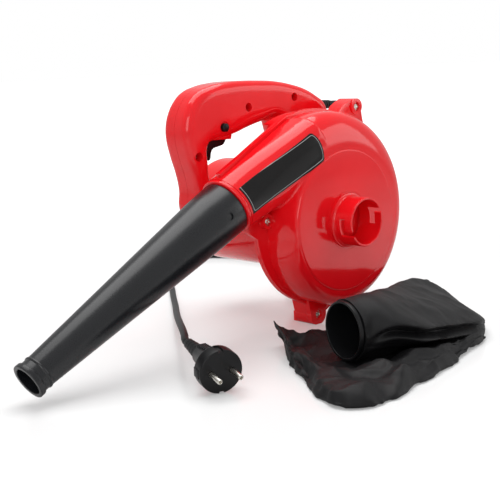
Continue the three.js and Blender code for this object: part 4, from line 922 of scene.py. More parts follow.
for middle_angle in (0, 180):
    for slot_index in (-1, 0, 1):
        cut(housing, cooling_slot(middle_angle + 12 * slot_index, MOTOR_R, side_slot_y, (12, 18, 3.4)))
for slot_index in range(6):
    cut(housing, cooling_slot(60 * slot_index, 30, MOTOR_END, (15, 12, 4)))
rear_half = copy_of(housing, "rear_half")
front_half = cut(housing, block("front_side", (-FAR, GRIP_Y - SPLIT, -FAR), (FAR, FAR, FAR)))
cut(rear_half, block("rear_side", (-FAR, -FAR, -FAR), (FAR, GRIP_Y + SPLIT, FAR)))
front_half.name = "front_half"
shade(front_half)
shade(rear_half)
print("front half:", len(front_half.data.polygons), "faces; rear half:", len(rear_half.data.polygons))

# %% [markdown]
# ## Screws
#
# The screws have round heads with a cross recess. Each is modelled alike: its head is turned with a domed top, and
# two small blocks cut the cross, so each has its own mesh.

# %% Screws
HEAD_T, SHANK_R = 2.4, 1.9


def screw(name, x, z, head_y, tip_y, angle=20):
    """A screw along Y whose head faces the front, with the back of its head at head_y."""
    profile = [(0, -HEAD_T), *arc((0, 4.6 - HEAD_T), 4.6, 285, 318, 5), (HEAD_R, -0.9), (HEAD_R, 0),
               (SHANK_R, 0), (SHANK_R, tip_y - head_y - 2), (0, tip_y - head_y)]
    obj = turn(name, profile, 48)
    for quarter in (0, 90):
        only()
        bpy.ops.mesh.primitive_cube_add(size=MM, location=(0, -HEAD_T * MM, 0), scale=(4.6, 2.8, 0.95),
                                        rotation=(0, math.radians(quarter + angle), 0))
        cut(obj, settle(bpy.context.object))
    return shade(moved(obj, Matrix.Translation(at(x, head_y, z))), 30)


CASE_SCREW_DEPTH = 18
screws = {}
for lug_name in LUGS:
    seat_y = LUGS[lug_name][3] + SEAT
    screws["case_screw_" + lug_name] = screw(
        "shell_screw_" + lug_name, *lug_spot(lug_name), seat_y, seat_y + CASE_SCREW_DEPTH, 10)
for spot_name, spot in HANDLE_SCREWS.items():
    screws["handle_screw_" + spot_name] = screw(
        "grip_screw_" + spot_name, *spot, WELL_FLOOR, WELL_FLOOR + 16, 35)
print(len(screws), "screws")

# %% [markdown]
# ## Trigger and lock-on button
#
# The trigger is a curved plastic piece that the finger pulls up into the handle. The button on the side
# locks it. The trigger is an outline with a bevel all round, and the button is turned with a domed face.

# %% Trigger and button
TRIGGER_TOP = 97.5
TRIGGER_OUTLINE = [
    (-111, TRIGGER_TOP), (-111, 70), (-110.4, 68), (-108.6, 67), (-106.8, 68), (-106, 70), (-105.4, 74),
    (-104, 77), (-101.5, 78.9), (-98, 79.6), (-94, 80.2), (-90, 81), (-87.8, 82), (-86.4, 83.6),
    (-85, 85.5), (-84.4, 88), (-84.4, 92), (-86, TRIGGER_TOP),
]
trigger = slab("trigger_lever", TRIGGER_OUTLINE, GRIP_Y - TRIGGER_HALF, GRIP_Y + TRIGGER_HALF)
shade(soften(trigger, 1.6, 4), 35)

BUTTON_FACE = HANDLE_Y[0] - 3.4
BUTTON_WALL = HANDLE_Y[0] + SHELL + FIT
button_profile = [
    (0, BUTTON_FACE), *arc((0, BUTTON_FACE + 7), 7, 280, 297, 4),
    *arc((BUTTON_R - 1, BUTTON_FACE + 1.8), 1, 300, 360, 4),
    (BUTTON_R, BUTTON_WALL), (BUTTON_R + 1.3, BUTTON_WALL), (BUTTON_R + 1.3, BUTTON_WALL + 1.4),
    (BUTTON_R, BUTTON_WALL + 1.4), (BUTTON_R, GRIP_Y - 14), (0, GRIP_Y - 14),
]
lock_button = turn("lock_button_cap", button_profile, 64)
shade(moved(lock_button, Matrix.Translation(at(BUTTON_SPOT[0], 0, BUTTON_SPOT[1]))), 30)
print("trigger and button done")

# %% [markdown]
# ## Cord gland
#
# A rubber sleeve protects the lead where it leaves the handle. It is turned with a row of ribs that grow
# thinner towards its end, so that it bends with the cord.

# %% Gland
gland_profile = [(0, -5), (4.6, -5), (4.6, -2), (6.4, -2), (6.6, -1.7), (6.6, -0.2), (6.3, 0), (4.8, 0)]
RIBS = 6
for rib in range(RIBS):
    rib_x, rib_r = 1.4 + 4 * rib, 5.5 - 0.16 * rib
    gland_profile += [(rib_r - 1, rib_x), (rib_r - 0.2, rib_x + 0.4), (rib_r, rib_x + 0.8),
                      (rib_r, rib_x + 1.8), (rib_r - 0.2, rib_x + 2.2), (rib_r - 1, rib_x + 2.6)]
gland_profile += [(4.1, GLAND_LENGTH - 1), (3.9, GLAND_LENGTH), (0, GLAND_LENGTH)]
gland = turn("cord_sleeve", gland_profile, 64)
to_gland = Matrix.Translation(at(GLAND_X, GRIP_Y, GLAND_Z)) @ Matrix.Rotation(-math.pi / 2, 4, "Z")
shade(moved(gland, to_gland), 35)
print("gland:", len(gland.data.polygons), "faces")

# %% [markdown]
# ## Plug
#
# The plug is a round head with two hollow-tipped pins, a ribbed grip behind it and a sleeve round the cord.
# All of it is made about the Y axis, with the face at the origin and the grip towards +Y, and then laid at
# its place on the floor.

# %% Plug
PLUG_R, PLUG_HEAD, PLUG_GRIP = 19.5, 15, 44
PIN_R, PIN_LENGTH, PIN_SPACING = 2.4, 19, 19
PLUG_RIBS, SLEEVE_RIBS = 6, 4
plug_side = (PLUG_SIDE + PLUG_AXIS * -PLUG_AXIS.dot(PLUG_SIDE)).normalized()
PLUG_FRAME = Matrix.Translation(on_floor(*PLUG_FACE)) @ Matrix(
    (plug_side, -PLUG_AXIS, plug_side.cross(-PLUG_AXIS))).transposed().to_4x4()


def free_block(low, high, width):
    """A box between two corners near the origin, in millimetres, with its edges rounded."""
    low, high = Vector(low) * MM, Vector(high) * MM
    only()
    bpy.ops.mesh.primitive_cube_add(size=1, location=(low + high) / 2, scale=high - low)
    return soften(settle(bpy.context.object), width)


plug_profile = [
    (0, 0), (PLUG_R - 1.2, 0), *arc((PLUG_R - 1.2, 1.2), 1.2, 270, 360, 4), (PLUG_R, PLUG_HEAD - 4),
    *arc((PLUG_R - 3, PLUG_HEAD - 3), 3, 0, 70, 5), (15.2, PLUG_HEAD + 1.5), (13.4, PLUG_HEAD + 5),
    (11.6, PLUG_HEAD + 11), (10.2, PLUG_HEAD + 18), (9.2, PLUG_GRIP - 6), (8.6, PLUG_GRIP - 0.8),
    (8, PLUG_GRIP), (0, PLUG_GRIP),
]
plug_head = turn("plug_head", plug_profile, 96)
for side in (-1, 1):
    fuse(plug_head, free_block((side * 16 - 4, 3, -4.5), (side * 16 + 4, PLUG_HEAD - 2, 4.5), 1))
    cut(plug_head, free_block((-2.5, -1, side * 20.5 - 3), (2.5, PLUG_HEAD - 3.5, side * 20.5 + 3), 0.6))
for rib in range(PLUG_RIBS):
    rib_y = PLUG_HEAD + 9 + 3.4 * rib
    for side in (-1, 1):
        low, high = sorted((side * 7, side * (12.6 - 0.42 * rib)))
        fuse(plug_head, free_block((-4.2, rib_y, low), (4.2, rib_y + 1.6, high), 0.5))
sleeve_hole = [(0, PLUG_GRIP - 8.3), (5.3, PLUG_GRIP - 8.3), (5.3, PLUG_GRIP + 1), (0, PLUG_GRIP + 1)]
cut(plug_head, turn("sleeve_hole", sleeve_hole))


def pin_profile(radius):
    return [(0, -PIN_LENGTH + 5), (1.3, -PIN_LENGTH + 5), (1.3, -PIN_LENGTH + 0.2), (1.5, -PIN_LENGTH),
            (radius - 0.8, -PIN_LENGTH), (radius - 0.25, -PIN_LENGTH + 0.6), (radius, -PIN_LENGTH + 1.6),
            (radius, 10), (0, 10)]


pin_hole = [(0, -1), (PIN_R + FIT, -1), (PIN_R + FIT, 10.3), (0, 10.3)]
plug_pins = []
for side in (-1, 1):
    shift = Matrix.Translation(Vector((side * PIN_SPACING / 2, 0, 0)) * MM)
    cut(plug_head, moved(turn("pin_hole", pin_hole), shift))
    pin = turn("plug_pin_" + ("a" if side < 0 else "b"), pin_profile(PIN_R), 48)
    plug_pins.append(shade(moved(pin, PLUG_FRAME @ shift), 30))
shade(moved(plug_head, PLUG_FRAME), 30)

sleeve_profile = [(0, PLUG_GRIP - 8), (5, PLUG_GRIP - 8), (5, PLUG_GRIP + FIT), (7.2, PLUG_GRIP + FIT)]
for rib in range(SLEEVE_RIBS):
    rib_y = PLUG_GRIP + 4.4 + 6 * rib
    rib_r = 7.4 - 2.6 * (rib_y - PLUG_GRIP) / (PLUG_LENGTH - PLUG_GRIP)
    sleeve_profile += [
        (rib_r, rib_y - 2.4), (rib_r, rib_y - 0.3), (rib_r - 0.3, rib_y), (rib_r - 1, rib_y + 0.3),
        (rib_r - 1, rib_y + 1.4), (rib_r - 0.6, rib_y + 1.8),
    ]
sleeve_profile += [(4.9, PLUG_LENGTH - 1), (4.5, PLUG_LENGTH), (0, PLUG_LENGTH)]
plug_sleeve = shade(moved(turn("plug_sleeve", sleeve_profile, 64), PLUG_FRAME), 35)
print("plug:", len(plug_head.data.polygons), "faces")

# %% [markdown]
# A narrow strap holds the coil together. It is an outline round the cord's turns with a smaller one cut out
# of it, laid radially where no turn climbs on to another one.

# %% Tie round the coil
TIE_WIDTH, TIE_Z = 7, (0.04, 16.6)
TIE_OUTLINE = [(31, 0), (42, 0), (46.4, 0.5), (46.4, 0.93), (45.4, 1), (29.8, 1), (28.8, 0.93), (28.8, 0.5)]
TIE_HOLE = [(31.4, 0), (41.6, 0), (45.5, 0.5), (45.5, 0.9), (44.9, 1), (30.3, 1), (29.7, 0.9), (29.7, 0.5)]


def tie_slab(outline, low, high, width):
    shape = [(r, low + (high - low) * rise - FLOOR_TO_AXIS) for r, rise in outline]
    return slab("coil_tie", shape, -width / 2, width / 2)


coil_tie = cut(
    tie_slab(TIE_OUTLINE, *TIE_Z, TIE_WIDTH),
    tie_slab(TIE_HOLE, TIE_Z[0] + 0.12, TIE_Z[1] - 0.8, 20))
to_coil = Matrix.Translation(on_floor(*COIL_MIDDLE, 0)) @ Matrix.Rotation(-math.pi / 2, 4, "Z")
moved(coil_tie, to_coil @ Matrix.Translation(Vector((-FAN.x, -FAN.y, 0))))
shade(coil_tie, 30)
print("tie:", len(coil_tie.data.polygons), "faces")

# %% [markdown]
# ## The dust bag
#
# A loose cloth bag lies beside the blower. Its mouth is a plastic collar with a rim, which can be hung on
# the inlet. The collar is turned like the other rings; the two pegs inside it fit the bayonet slots.

# %% Bag collar
BAG_FLOOR = 3.6
BAG_COLLAR_R, BAG_COLLAR_LENGTH = SOCKET_R + 2.4, 34
BAG_MOUTH = Vector((-105, -124, BAG_FLOOR + FIT + BAG_COLLAR_R))
BAG_AWAY = Vector((0.974, -0.226, 0)).normalized()
upright = Vector((0, 0, 1))
BAG_FRAME = Matrix.Translation(on_floor(*BAG_MOUTH)) @ Matrix(
    (upright, BAG_AWAY, upright.cross(BAG_AWAY))).transposed().to_4x4()
collar_end = BAG_COLLAR_LENGTH
bag_ring_profile = [
    (SOCKET_R, 0.6), *arc((SOCKET_R + 0.6, 0.6), 0.6, 180, 270, 3),
    *arc((BAG_COLLAR_R - 0.8, 0.8), 0.8, 270, 360, 4), (BAG_COLLAR_R, 3.4),
    *arc((BAG_COLLAR_R - 0.6, 3.4), 0.6, 0, 90, 3), (BAG_COLLAR_R - 1, 4.4), (BAG_COLLAR_R - 1, collar_end),
    (SOCKET_R, collar_end), (SOCKET_R, 0.6),
]
bag_ring = turn("bag_ring", bag_ring_profile, 112)
for peg_angle in (25, 205):
    fuse(bag_ring, radial_pin("peg", peg_angle, 12, PEG_R, SOCKET_R - 1.9, SOCKET_R + 1))
shade(moved(bag_ring, BAG_FRAME), 32)
print("bag collar:", len(bag_ring.data.polygons), "faces")

# %% [markdown]
# The bag itself is a long sack of thin cloth. Its near end is drawn over the collar, and the sleeve behind
# it leans over in a few big folds. The slack rest is pushed together under it and makes a low pouch with a
# raised rim. Cloth like this could be simulated, but its folds would fall somewhere else each time, so both
# are lofted: long lines run along the folds, and a closed curve goes round through all of them.

# %% Lines along the folds
BAG_SIDE = Vector((0.226, 0.974, 0)).normalized()
CLOTH_R = BAG_COLLAR_R + 1.2
SLEEVE_ANGLES = (90, 40, 6, -8, -24, -45, -70, -110, 180, 135)
SLEEVE = {  # by distance from the mouth: across the bag and height, round from the top over the front
    30: [(3, 61.5), (-20, 56), (-41, 41), (-31, 33), (-38, 27),
         (-24, 15), (-10, 3), (18, 3), (31, 30), (24, 52)],
    60: [(22, 56), (-8, 50), (-44, 34), (-33, 27), (-43, 21),
         (-20, 11), (-4, 4), (40, 4), (52, 28), (42, 47)],
    90: [(43, 52), (4, 45), (-34, 29), (-26, 22), (-37, 17),
         (-22, 10), (0, 4), (62, 4), (73, 26), (62, 44)],
    125: [(68, 47), (18, 39), (-24, 24), (-19, 18), (-29, 13),
          (-20, 7), (8, 3), (85, 3), (96, 24), (85, 41)],
    168: [(101, 39), (40, 30), (-13, 19), (-13, 14), (-17, 9),
          (-14, 4), (8, 2), (104, 3), (115, 18), (112, 35)],
    200: [(138, 24), (86, 14), (35, 4.6), (34, 3.6), (34, 2.8),
          (35, 1.8), (46, 1), (138, 1.5), (149, 11), (147, 21)],
}
END_SLANT = 0.2
POUCH = [  # floor edge, upper front edge, ridge, valley and inner edge of the pouch, from its left tip
    [(-104, -38, 14), (-105, -39, 20), (-103, -34, 27), (-100, -33, 24), (-98, -33, 20)],
    [(-128, -79, 0.4), (-131, -82, 7), (-119, -64, 21), (-97, -52, 14), (-80, -48, 12)],
    [(-154, -114, 0.4), (-153, -114, 9), (-134, -86, 13), (-97, -60, 7), (-60, -46, 12)],
    [(-172, -146, 0.4), (-172, -148, 5), (-146, -112, 17), (-106, -78, 5), (-48, -50, 10)],
    [(-195, -190, 0.4), (-196, -192, 12), (-157, -145, 14), (-123, -104, 3), (-38, -60, 8)],
    [(-178, -215, 0.4), (-170, -203, 16), (-146, -166, 12), (-114, -136, 1), (-50, -90, 4)],
    [(-156, -218, 0.4), (-146, -204, 10), (-128, -176, 17), (-98, -146, 1), (-50, -98, 4)],
    [(-132, -215, 0.4), (-124, -204, 17), (-104, -182, 15), (-84, -150, 1), (-46, -102, 4)],
    [(-104, -209, 0.4), (-98, -202, 9), (-76, -181, 18), (-64, -153, 2), (-30, -105, 5)],
    [(-68, -203, 0.4), (-72, -202, 12), (-52, -186, 14), (-46, -158, 4), (-15, -110, 5)],
    [(-30, -195, 0.4), (-34, -195, 7), (-20, -184, 14), (-20, -164, 8), (8, -118, 5)],
    [(10, -186, 0.4), (6, -187, 8), (14, -180, 11), (16, -168, 8), (36, -126, 4)],
    [(44, -177, 0.4), (42, -178, 4), (44, -175, 9), (48, -166, 6), (62, -132, 4)],
]


def spline_through(points, share, closed=False, tightness=0.5):
    """A point on a smooth curve through the points; a low tightness keeps its corners sharper."""
    count = len(points)
    place = share * (count if closed else count - 1)
    i = min(int(place), count - (1 if closed else 2))
    t = place - i
    a, b, c, d = (points[(i + k) % count if closed else min(max(i + k, 0), count - 1)] for k in (-1, 0, 1, 2))
    into, out_of = (c - a) * tightness, (d - b) * tightness
    return (b * (2 * t ** 3 - 3 * t * t + 1) + into * (t ** 3 - 2 * t * t + t)
            + c * (3 * t * t - 2 * t ** 3) + out_of * (t ** 3 - t * t))


def bag_point(along, across, height):
    spot = BAG_MOUTH + BAG_AWAY * along + BAG_SIDE * across
    return Vector((spot.x, spot.y, height))


def collar_ring(along):
    ring = []
    for angle in SLEEVE_ANGLES:
        across, rise = polar(CLOTH_R, angle)
        ring.append(bag_point(along, -across, BAG_MOUTH.z + rise))
    return ring


ROUND, CREASED = 0.58, 0.26
sleeve_rings = [(collar_ring(4.6), ROUND), (collar_ring(12), ROUND)]
for along, profile in SLEEVE.items():
    slant = END_SLANT * ease(along, 110, 168)
    ring = [bag_point(along + slant * (across - 45), across, height) for across, height in profile]
    sleeve_rings.append((ring, CREASED if along > 30 else 0.45))
pouch_rings = []
for station in POUCH:
    floor_edge, front_edge, ridge, valley, inner = (Vector(point) for point in station)
    band = (front_edge + ridge) / 2 - Vector((0, 0, 1.5))
    under = Vector((inner.x, inner.y, 0.4 if station is not POUCH[0] else inner.z - 6))
    ring = [floor_edge, front_edge, band, ridge, (ridge + valley) / 2, valley, inner, under]
    pouch_rings.append((ring, CREASED))
print("the sleeve has", len(sleeve_rings), "rings and the pouch", len(pouch_rings))

# %% [markdown]
# Each loft is a grid primitive whose vertices are laid on the curves. Noise of three sizes pushes the cloth
# in and out, folded at its middle value so that it leaves ridges, except on the collar, where it is tight.
# Then the two are fused, hollowed with Solidify to the thickness of the cloth, and opened at the mouth.

# %% Cloth of the bag
CLOTH_T = 0.8
LOWEST = 0.4
SLEEVE_NOISE = ((70, 2.6), (24, 0.8), (9, 0.3))  # grain and depth
POUCH_NOISE = ((45, 4), (18, 2), (8, 0.4))


def loft(name, rings, along, around):
    def place(u, v):
        turned = round(v * around) % around / around
        stations = [spline_through(ring, turned, True, tight) for ring, tight in rings]
        point = spline_through(stations, u)
        return on_floor(point.x, point.y, max(point.z, LOWEST))

    return fill_ends(grid(name, along, around, place))


def crumple(obj, sizes):
    """Moves each vertex along its normal by noise: sizes holds pairs of grain and depth in millimetres."""
    mouth = on_floor(*BAG_MOUTH)
    moves = []
    for vertex in obj.data.vertices:
        loose = ease((vertex.co - mouth).dot(BAG_AWAY) / MM, 30, 65) if vertex.co.z > 20 * MM else 1
        depth = sum(deep * (0.5 - 2 * abs(noise.noise(vertex.co / (grain * MM)))) for grain, deep in sizes)
        moves.append(vertex.normal * depth * loose * MM)
    for vertex, move in zip(obj.data.vertices, moves):
        vertex.co += move
        vertex.co.z = max(vertex.co.z, LOWEST * MM)
    return obj


sleeve = loft("dust_bag_cloth", sleeve_rings, 160, 130)
pouch = loft("pouch", pouch_rings, 170, 80)
dust_bag = fuse(crumple(sleeve, SLEEVE_NOISE), crumple(pouch, POUCH_NOISE))
modify(dust_bag, "SOLIDIFY", thickness=CLOTH_T * MM, offset=-1)
opening_r, opening_end = BAG_COLLAR_R - 0.4, collar_end + 2
opening = turn("opening", [(0, -3), (opening_r, -3), (opening_r, opening_end), (0, opening_end)])
cut(dust_bag, moved(opening, BAG_FRAME))
shade(dust_bag, 60)

# %% [markdown]
# ## Finishes
#
# Every finish is a small node tree. `Field` wraps a socket so that sums and products can be written as they
# are on paper, and `Finish.node` adds any other node from its type, its settings and its inputs.

# %% A shader toolkit
class Field:
    """A value that changes over a surface: arithmetic on it adds Math nodes."""

    def __init__(self, finish, socket):
        self.finish, self.socket = finish, socket

    def math(self, operation, *values):
        return self.finish.node("Math", {"operation": operation}, dict(enumerate(values)))

    def __add__(self, other):
        return self.math("ADD", self, other)

    def __mul__(self, other):
        return self.math("MULTIPLY", self, other)

    def __sub__(self, other):
        return self.math("SUBTRACT", self, other)

    def __rsub__(self, other):
        return self.math("SUBTRACT", other, self)

    __radd__, __rmul__ = __add__, __mul__

    def band(self, low, high):
        """Rises smoothly from 0 to 1 as the value goes from low to high."""
        inputs = {"Value": self, "From Min": low, "From Max": high}
        return self.finish.node("MapRange", {"interpolation_type": "SMOOTHSTEP"}, inputs)


class Finish:
    """A material whose shader takes plain values by name, and fields through feed."""

    def __init__(self, name, **constants):
        self.material = bpy.data.materials.new(name)
        self.material.use_nodes = True
        self.tree = self.material.node_tree
        self.shader = self.tree.nodes["Principled BSDF"]
        for key, value in constants.items():
            self.feed(key.replace("_", " ").title().replace("Ior", "IOR"), value)

    def feed(self, name, value, node=None):
        socket = (node or self.shader).inputs[name]
        if isinstance(value, Field):
            self.tree.links.new(value.socket, socket)
        else:
            socket.default_value = value

    def node(self, kind, settings, inputs, output=0):
        node = self.tree.nodes.new("ShaderNode" + kind)
        for name, value in settings.items():
            setattr(node, name, value)
        for name, value in inputs.items():
            self.feed(name, value, node)
        return Field(self, node.outputs[output])

    def place(self):
        return self.node("TexCoord", {}, {}, "Object")

    def noise(self, grain_mm, detail=2.0):
        """Soft noise whose grains are about that many millimetres wide."""
        inputs = {"Vector": self.place(), "Scale": 1 / (grain_mm * MM), "Detail": detail}
        return self.node("TexNoise", {}, inputs)

    def mix(self, factor, first, second):
        """A blend of two colours; the Mix node has its colour sockets at these places."""
        colour_a, colour_b, colour_out = 6, 7, 2
        return self.node("Mix", {"data_type": "RGBA"},
                         {"Factor": factor, colour_a: first, colour_b: second}, colour_out)

    def bump(self, height, depth_mm, strength=1.0):
        inputs = {"Height": height, "Distance": depth_mm * MM, "Strength": strength}
        self.feed("Normal", self.node("Bump", {}, inputs))


def coat(finish, *objects):
    for obj in objects:
        obj.data.materials.clear()
        obj.data.materials.append(finish.material)


def rgb(red, green, blue):
    return red, green, blue, 1


print("shader toolkit ready")

# %% [markdown]
# ### Red moulding
#
# The casing is glossy ABS. Its colour is even, and its life comes from reflections, so the roughness is low
# and a very weak, broad bump lets the reflections waver the way they do on a moulded surface. A finer one
# gives it a trace of orange peel.

# %% Red plastic
red = Finish("red_shell", specular_ior_level=0.45)
broad, fine = red.noise(34), red.noise(1.6)
red.feed("Base Color", red.mix(broad.band(0.3, 0.7), rgb(0.86, 0.006, 0.011), rgb(0.90, 0.007, 0.013)))
red.feed("Roughness", 0.08 + 0.05 * fine + 0.03 * broad)
red.bump(fine * 0.05 + broad, 0.22, 0.3)
coat(red, front_cover, rear_cover, outlet_ring, front_half, rear_half)

# %% [markdown]
# ### Black and grey plastic
#
# The nozzle, trigger, button and the bag's ring are satin plastic with a spark-eroded grain. The grain is a
# fine noise that feeds both bump and roughness, because a grained surface is duller in its hollows.

# %% Satin plastics
def satin(name, dark, light, roughness, grain, shine=0.5):
    finish = Finish(name, specular_ior_level=shine)
    speckle, cloud = finish.noise(grain, 3), finish.noise(25)
    finish.feed("Base Color", finish.mix(cloud, dark, light))
    finish.feed("Roughness", roughness + 0.12 * speckle + 0.05 * cloud)
    finish.bump(speckle, 0.04, 0.6)
    return finish


black = satin("black_plastic", rgb(0.005, 0.005, 0.0055), rgb(0.008, 0.008, 0.009), 0.24, 0.5, 0.25)
nozzle_grey = satin("nozzle_plastic", rgb(0.006, 0.0065, 0.008), rgb(0.009, 0.0097, 0.012), 0.2, 0.5, 0.5)
grip_grey = satin("grey_plastic", rgb(0.10, 0.104, 0.108), rgb(0.13, 0.134, 0.138), 0.4, 0.6)
rubber = satin("cord_sheath", rgb(0.006, 0.006, 0.0065), rgb(0.011, 0.011, 0.012), 0.38, 0.8, 0.3)
coat(black, lock_button, trigger, bag_ring, plug_head)
coat(nozzle_grey, nozzle)
coat(rubber, mains_lead, gland, plug_sleeve, coil_tie)
print("plastics applied")

# %% [markdown]
# ### Label film, cloth and metals
#
# The label is black film under a clear layer. Its printed line follows the edge at an even distance: the
# distances to the four edges are worked out in the duct's own directions, and a smooth minimum of them
# rounds the corners. The bag is closely woven polyester: two crossed waves make the weave, and a noise breaks
# it up. The screws and pins are nickel, with fine turning marks in the roughness.

# %% Film, cloth and metals
film = Finish("label", specular_ior_level=0.3)
film_cloud = film.noise(12)
print_black = film.mix(film_cloud, rgb(0.006, 0.0055, 0.0055), rgb(0.010, 0.009, 0.009))


def along_duct(way, origin):
    """Distance in millimetres of a place on the film from an origin, along a direction in XZ."""
    offset = FAN.dot(Vector((way[0], 0, way[1]))) / MM + origin
    return film.node("VectorMath", {"operation": "DOT_PRODUCT"},
                     {0: film.place(), 1: Vector((way[0], 0, way[1])) / MM}, "Value") - offset


half_height = (LABEL_P1 - LABEL_P0) / 2
film_s = along_duct((DUCT_X, DUCT_Z), 0)
film_p = along_duct((DUCT_Z, -DUCT_X), LABEL_P0 + half_height)
end_bulge = LABEL_BULGE * (1 - (1 / half_height) * film_p * (1 / half_height) * film_p)
edge = film_s + end_bulge
for distance in (LABEL_S1 - film_s, half_height - film_p, half_height + film_p):
    edge = film.node("Math", {"operation": "SMOOTH_MIN"}, {0: edge, 1: distance, 2: 4})
keyline = edge.band(1.5, 1.7) * (1 - edge.band(2.0, 2.2))
film.feed("Base Color", film.mix(keyline, print_black, rgb(0.42, 0.42, 0.42)))
film.feed("Roughness", 0.16 + 0.08 * film_cloud)
coat(film, label_film)

cloth = Finish("bag_cloth", specular_ior_level=0.25)
threads = []
for way in ("X", "Y"):
    inputs = {"Vector": cloth.place(), "Scale": 330, "Distortion": 0.6}
    threads.append(cloth.node("TexWave", {"bands_direction": way}, inputs))
weave = threads[0] * threads[1]
fade = cloth.noise(18, 4)
cloth.feed("Base Color", cloth.mix(fade, rgb(0.0035, 0.0034, 0.004), rgb(0.0065, 0.0062, 0.007)))
cloth.feed("Roughness", 0.5 + 0.2 * weave)
cloth.bump(weave + fade * 0.8, 0.15, 0.5)
coat(cloth, dust_bag)


def metal(name, colour, roughness, grain=0.7):
    finish = Finish(name, metallic=1.0)
    marks = finish.noise(grain, 3)
    finish.feed("Base Color", finish.mix(marks, rgb(*colour), rgb(*(0.8 * part for part in colour))))
    finish.feed("Roughness", roughness + 0.15 * marks)
    return finish


nickel = metal("nickel", (0.80, 0.77, 0.71), 0.18)
coat(nickel, *plug_pins, *screws.values())
print("film, cloth and metals applied")

# %% [markdown]
# ### Inside the machine
#
# The motor shows through the cooling slots, and the fan would show through the inlet if the casing were
# hollow. Their shapes come from the working model, and only get a finish. Which one each node takes is
# written in the model's record.

# %% Finishes of the working model's own nodes
NODE_FINISH = {
    "red_shell": red, "black_plastic": black, "grey_plastic": grip_grey, "label": film, "cord_sheath": rubber,
    "bag_cloth": cloth, "nickel": nickel, "steel": metal("steel", (0.56, 0.57, 0.58), 0.3),
    "copper": metal("copper", (0.80, 0.42, 0.25), 0.3), "brass": metal("brass", (0.78, 0.60, 0.30), 0.28),
    "carbon": satin("carbon", rgb(0.02, 0.02, 0.02), rgb(0.05, 0.05, 0.05), 0.7, 0.5),
}
for part in frame["record"]["subparts"]:
    coat(NODE_FINISH[part["material_slot"]], frame["nodes"][part["node"]])

# %% [markdown]
# ## What each piece stands for
#
# Each new piece replaces the plain node of the working model and rides on the same body, so that it moves
# with the trigger, the button or the nozzle. A slot of the record is listed with it, but nothing reads it.

# %% Riding and replacing
DRESSED = [
    (front_cover, "blower", "red_shell", ["volute_front_cover"]),
    (rear_cover, "blower", "red_shell", ["volute_rear_shell"]),
    (outlet_ring, "blower", "red_shell", ["outlet_spigot"]),
    (label_film, "blower", "label", ["label_plate"]),
    (nozzle, "nozzle", "black_plastic", ["nozzle"]),
    (front_half, "blower", "red_shell", ["housing_front_half"]),
    (rear_half, "blower", "red_shell", ["housing_rear_half"]),
    (trigger, "trigger", "black_plastic", ["trigger"]),
    (lock_button, "lock_button", "black_plastic", ["lock_on_button"]),
    (gland, "blower", "cord_sheath", ["cord_gland"]),
    (plug_head, "blower", "black_plastic", ["plug_body"]),
    (plug_pins[0], "blower", "nickel", ["plug_pin_1"]),
    (plug_pins[1], "blower", "nickel", ["plug_pin_2"]),
    (plug_sleeve, "blower", "cord_sheath", ["plug_relief"]),
    (bag_ring, "blower", "black_plastic", ["bag_collar"]),
    (dust_bag, "blower", "bag_cloth", ["dust_bag"]),
    (mains_lead, "blower", "cord_sheath", ["cord_lead", "cord_coil", "cord_run"]),
    (coil_tie, "blower", "cord_sheath", []),
]
DRESSED += [(head, "blower", "nickel", [node_name]) for node_name, head in screws.items()]
for piece, body, slot_name, node_names in DRESSED:
    if node_names:
        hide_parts(*node_names)
    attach(piece, body)
print(len(DRESSED), "pieces dressed")

# %% [markdown]
# ## Studio
#
# The blower stands on a white sweep. The floor is a pale, slightly glossy sheet that keeps the shadow and a
# soft reflection. To the camera it grows brighter with the distance, so that it melts into the white world
# behind it.

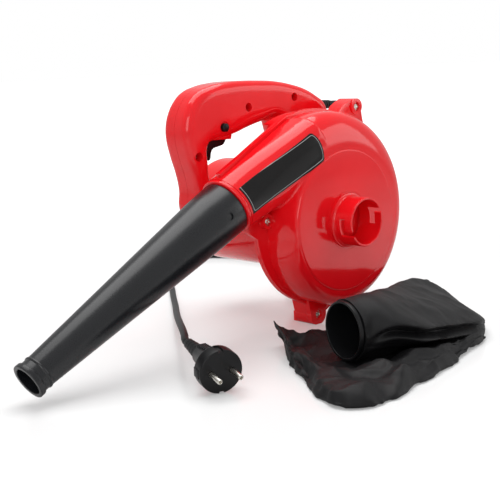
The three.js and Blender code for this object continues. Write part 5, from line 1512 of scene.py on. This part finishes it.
# %% Floor
only()
FLOOR_SIZE, FLOOR_Z = 80, -0.0004
bpy.ops.mesh.primitive_plane_add(size=FLOOR_SIZE, location=(0, 0, FLOOR_Z))
studio_floor = bpy.context.object
studio_floor.name = "studio_floor"
sheet = Finish("studio_sheet", base_color=rgb(0.77, 0.77, 0.77), roughness=0.22, specular_ior_level=0.35)
seen = sheet.node("LightPath", {}, {}, "Is Camera Ray")
away = sheet.node("VectorMath", {"operation": "LENGTH"}, {0: sheet.place()}, "Value")
sheet.feed("Emission Strength", 1)
glow = seen * (0.23 + 0.55 * away.band(0.45, 1.6))
sheet.feed("Emission Color", sheet.mix(glow, rgb(0, 0, 0), rgb(1, 1, 1)))
coat(sheet, studio_floor)

# %% [markdown]
# A big soft box hangs above, and two smaller ones fill from both sides. The world is white where it is seen,
# and greyer where it is mirrored, which keeps the red deep and the black black.

# %% Lights
def softbox(name, place, target, size, radiance):
    only()
    bpy.ops.object.light_add(type="AREA", location=place)
    lamp = bpy.context.object
    lamp.name = name
    lamp.data.shape, lamp.data.size, lamp.data.size_y = "RECTANGLE", size[0], size[1]
    lamp.data.energy = radiance * math.pi * size[0] * size[1]
    lamp.rotation_euler = (Vector(place) - Vector(target)).to_track_quat("Z", "Y").to_euler()
    return lamp


softbox("overhead_box", (0.05, 0.25, 1.5), (0, 0, 0.1), (1.5, 1.3), 3.0)
softbox("camera_fill", (-1.9, -1.3, 0.9), (0, 0, 0.1), (1.2, 1.2), 2.6)
softbox("right_fill", (1.6, -1.4, 0.8), (0, 0, 0.1), (1.0, 1.2), 1.9)

world = bpy.data.worlds.new("studio_world")
bpy.context.scene.world = world
world.use_nodes = True
sky = world.node_tree
background = sky.nodes["Background"]
background.inputs["Color"].default_value = rgb(1, 1, 1)
path = sky.nodes.new("ShaderNodeLightPath")
AS_LIGHT, MIRRORED, SEEN = 0.5, 0.6, 1  # the world's strength for each use
mirrored = sky.nodes.new("ShaderNodeMix")
mirrored.inputs["A"].default_value = AS_LIGHT
mirrored.inputs["B"].default_value = MIRRORED
sky.links.new(path.outputs["Is Glossy Ray"], mirrored.inputs["Factor"])
seen_plainly = sky.nodes.new("ShaderNodeMix")
seen_plainly.inputs["B"].default_value = SEEN
sky.links.new(mirrored.outputs["Result"], seen_plainly.inputs["A"])
sky.links.new(path.outputs["Is Camera Ray"], seen_plainly.inputs["Factor"])
sky.links.new(seen_plainly.outputs["Result"], background.inputs["Strength"])
bpy.context.scene.view_settings.view_transform = "Standard"
print("studio lit")

# %% End of the scene
print("scene built")
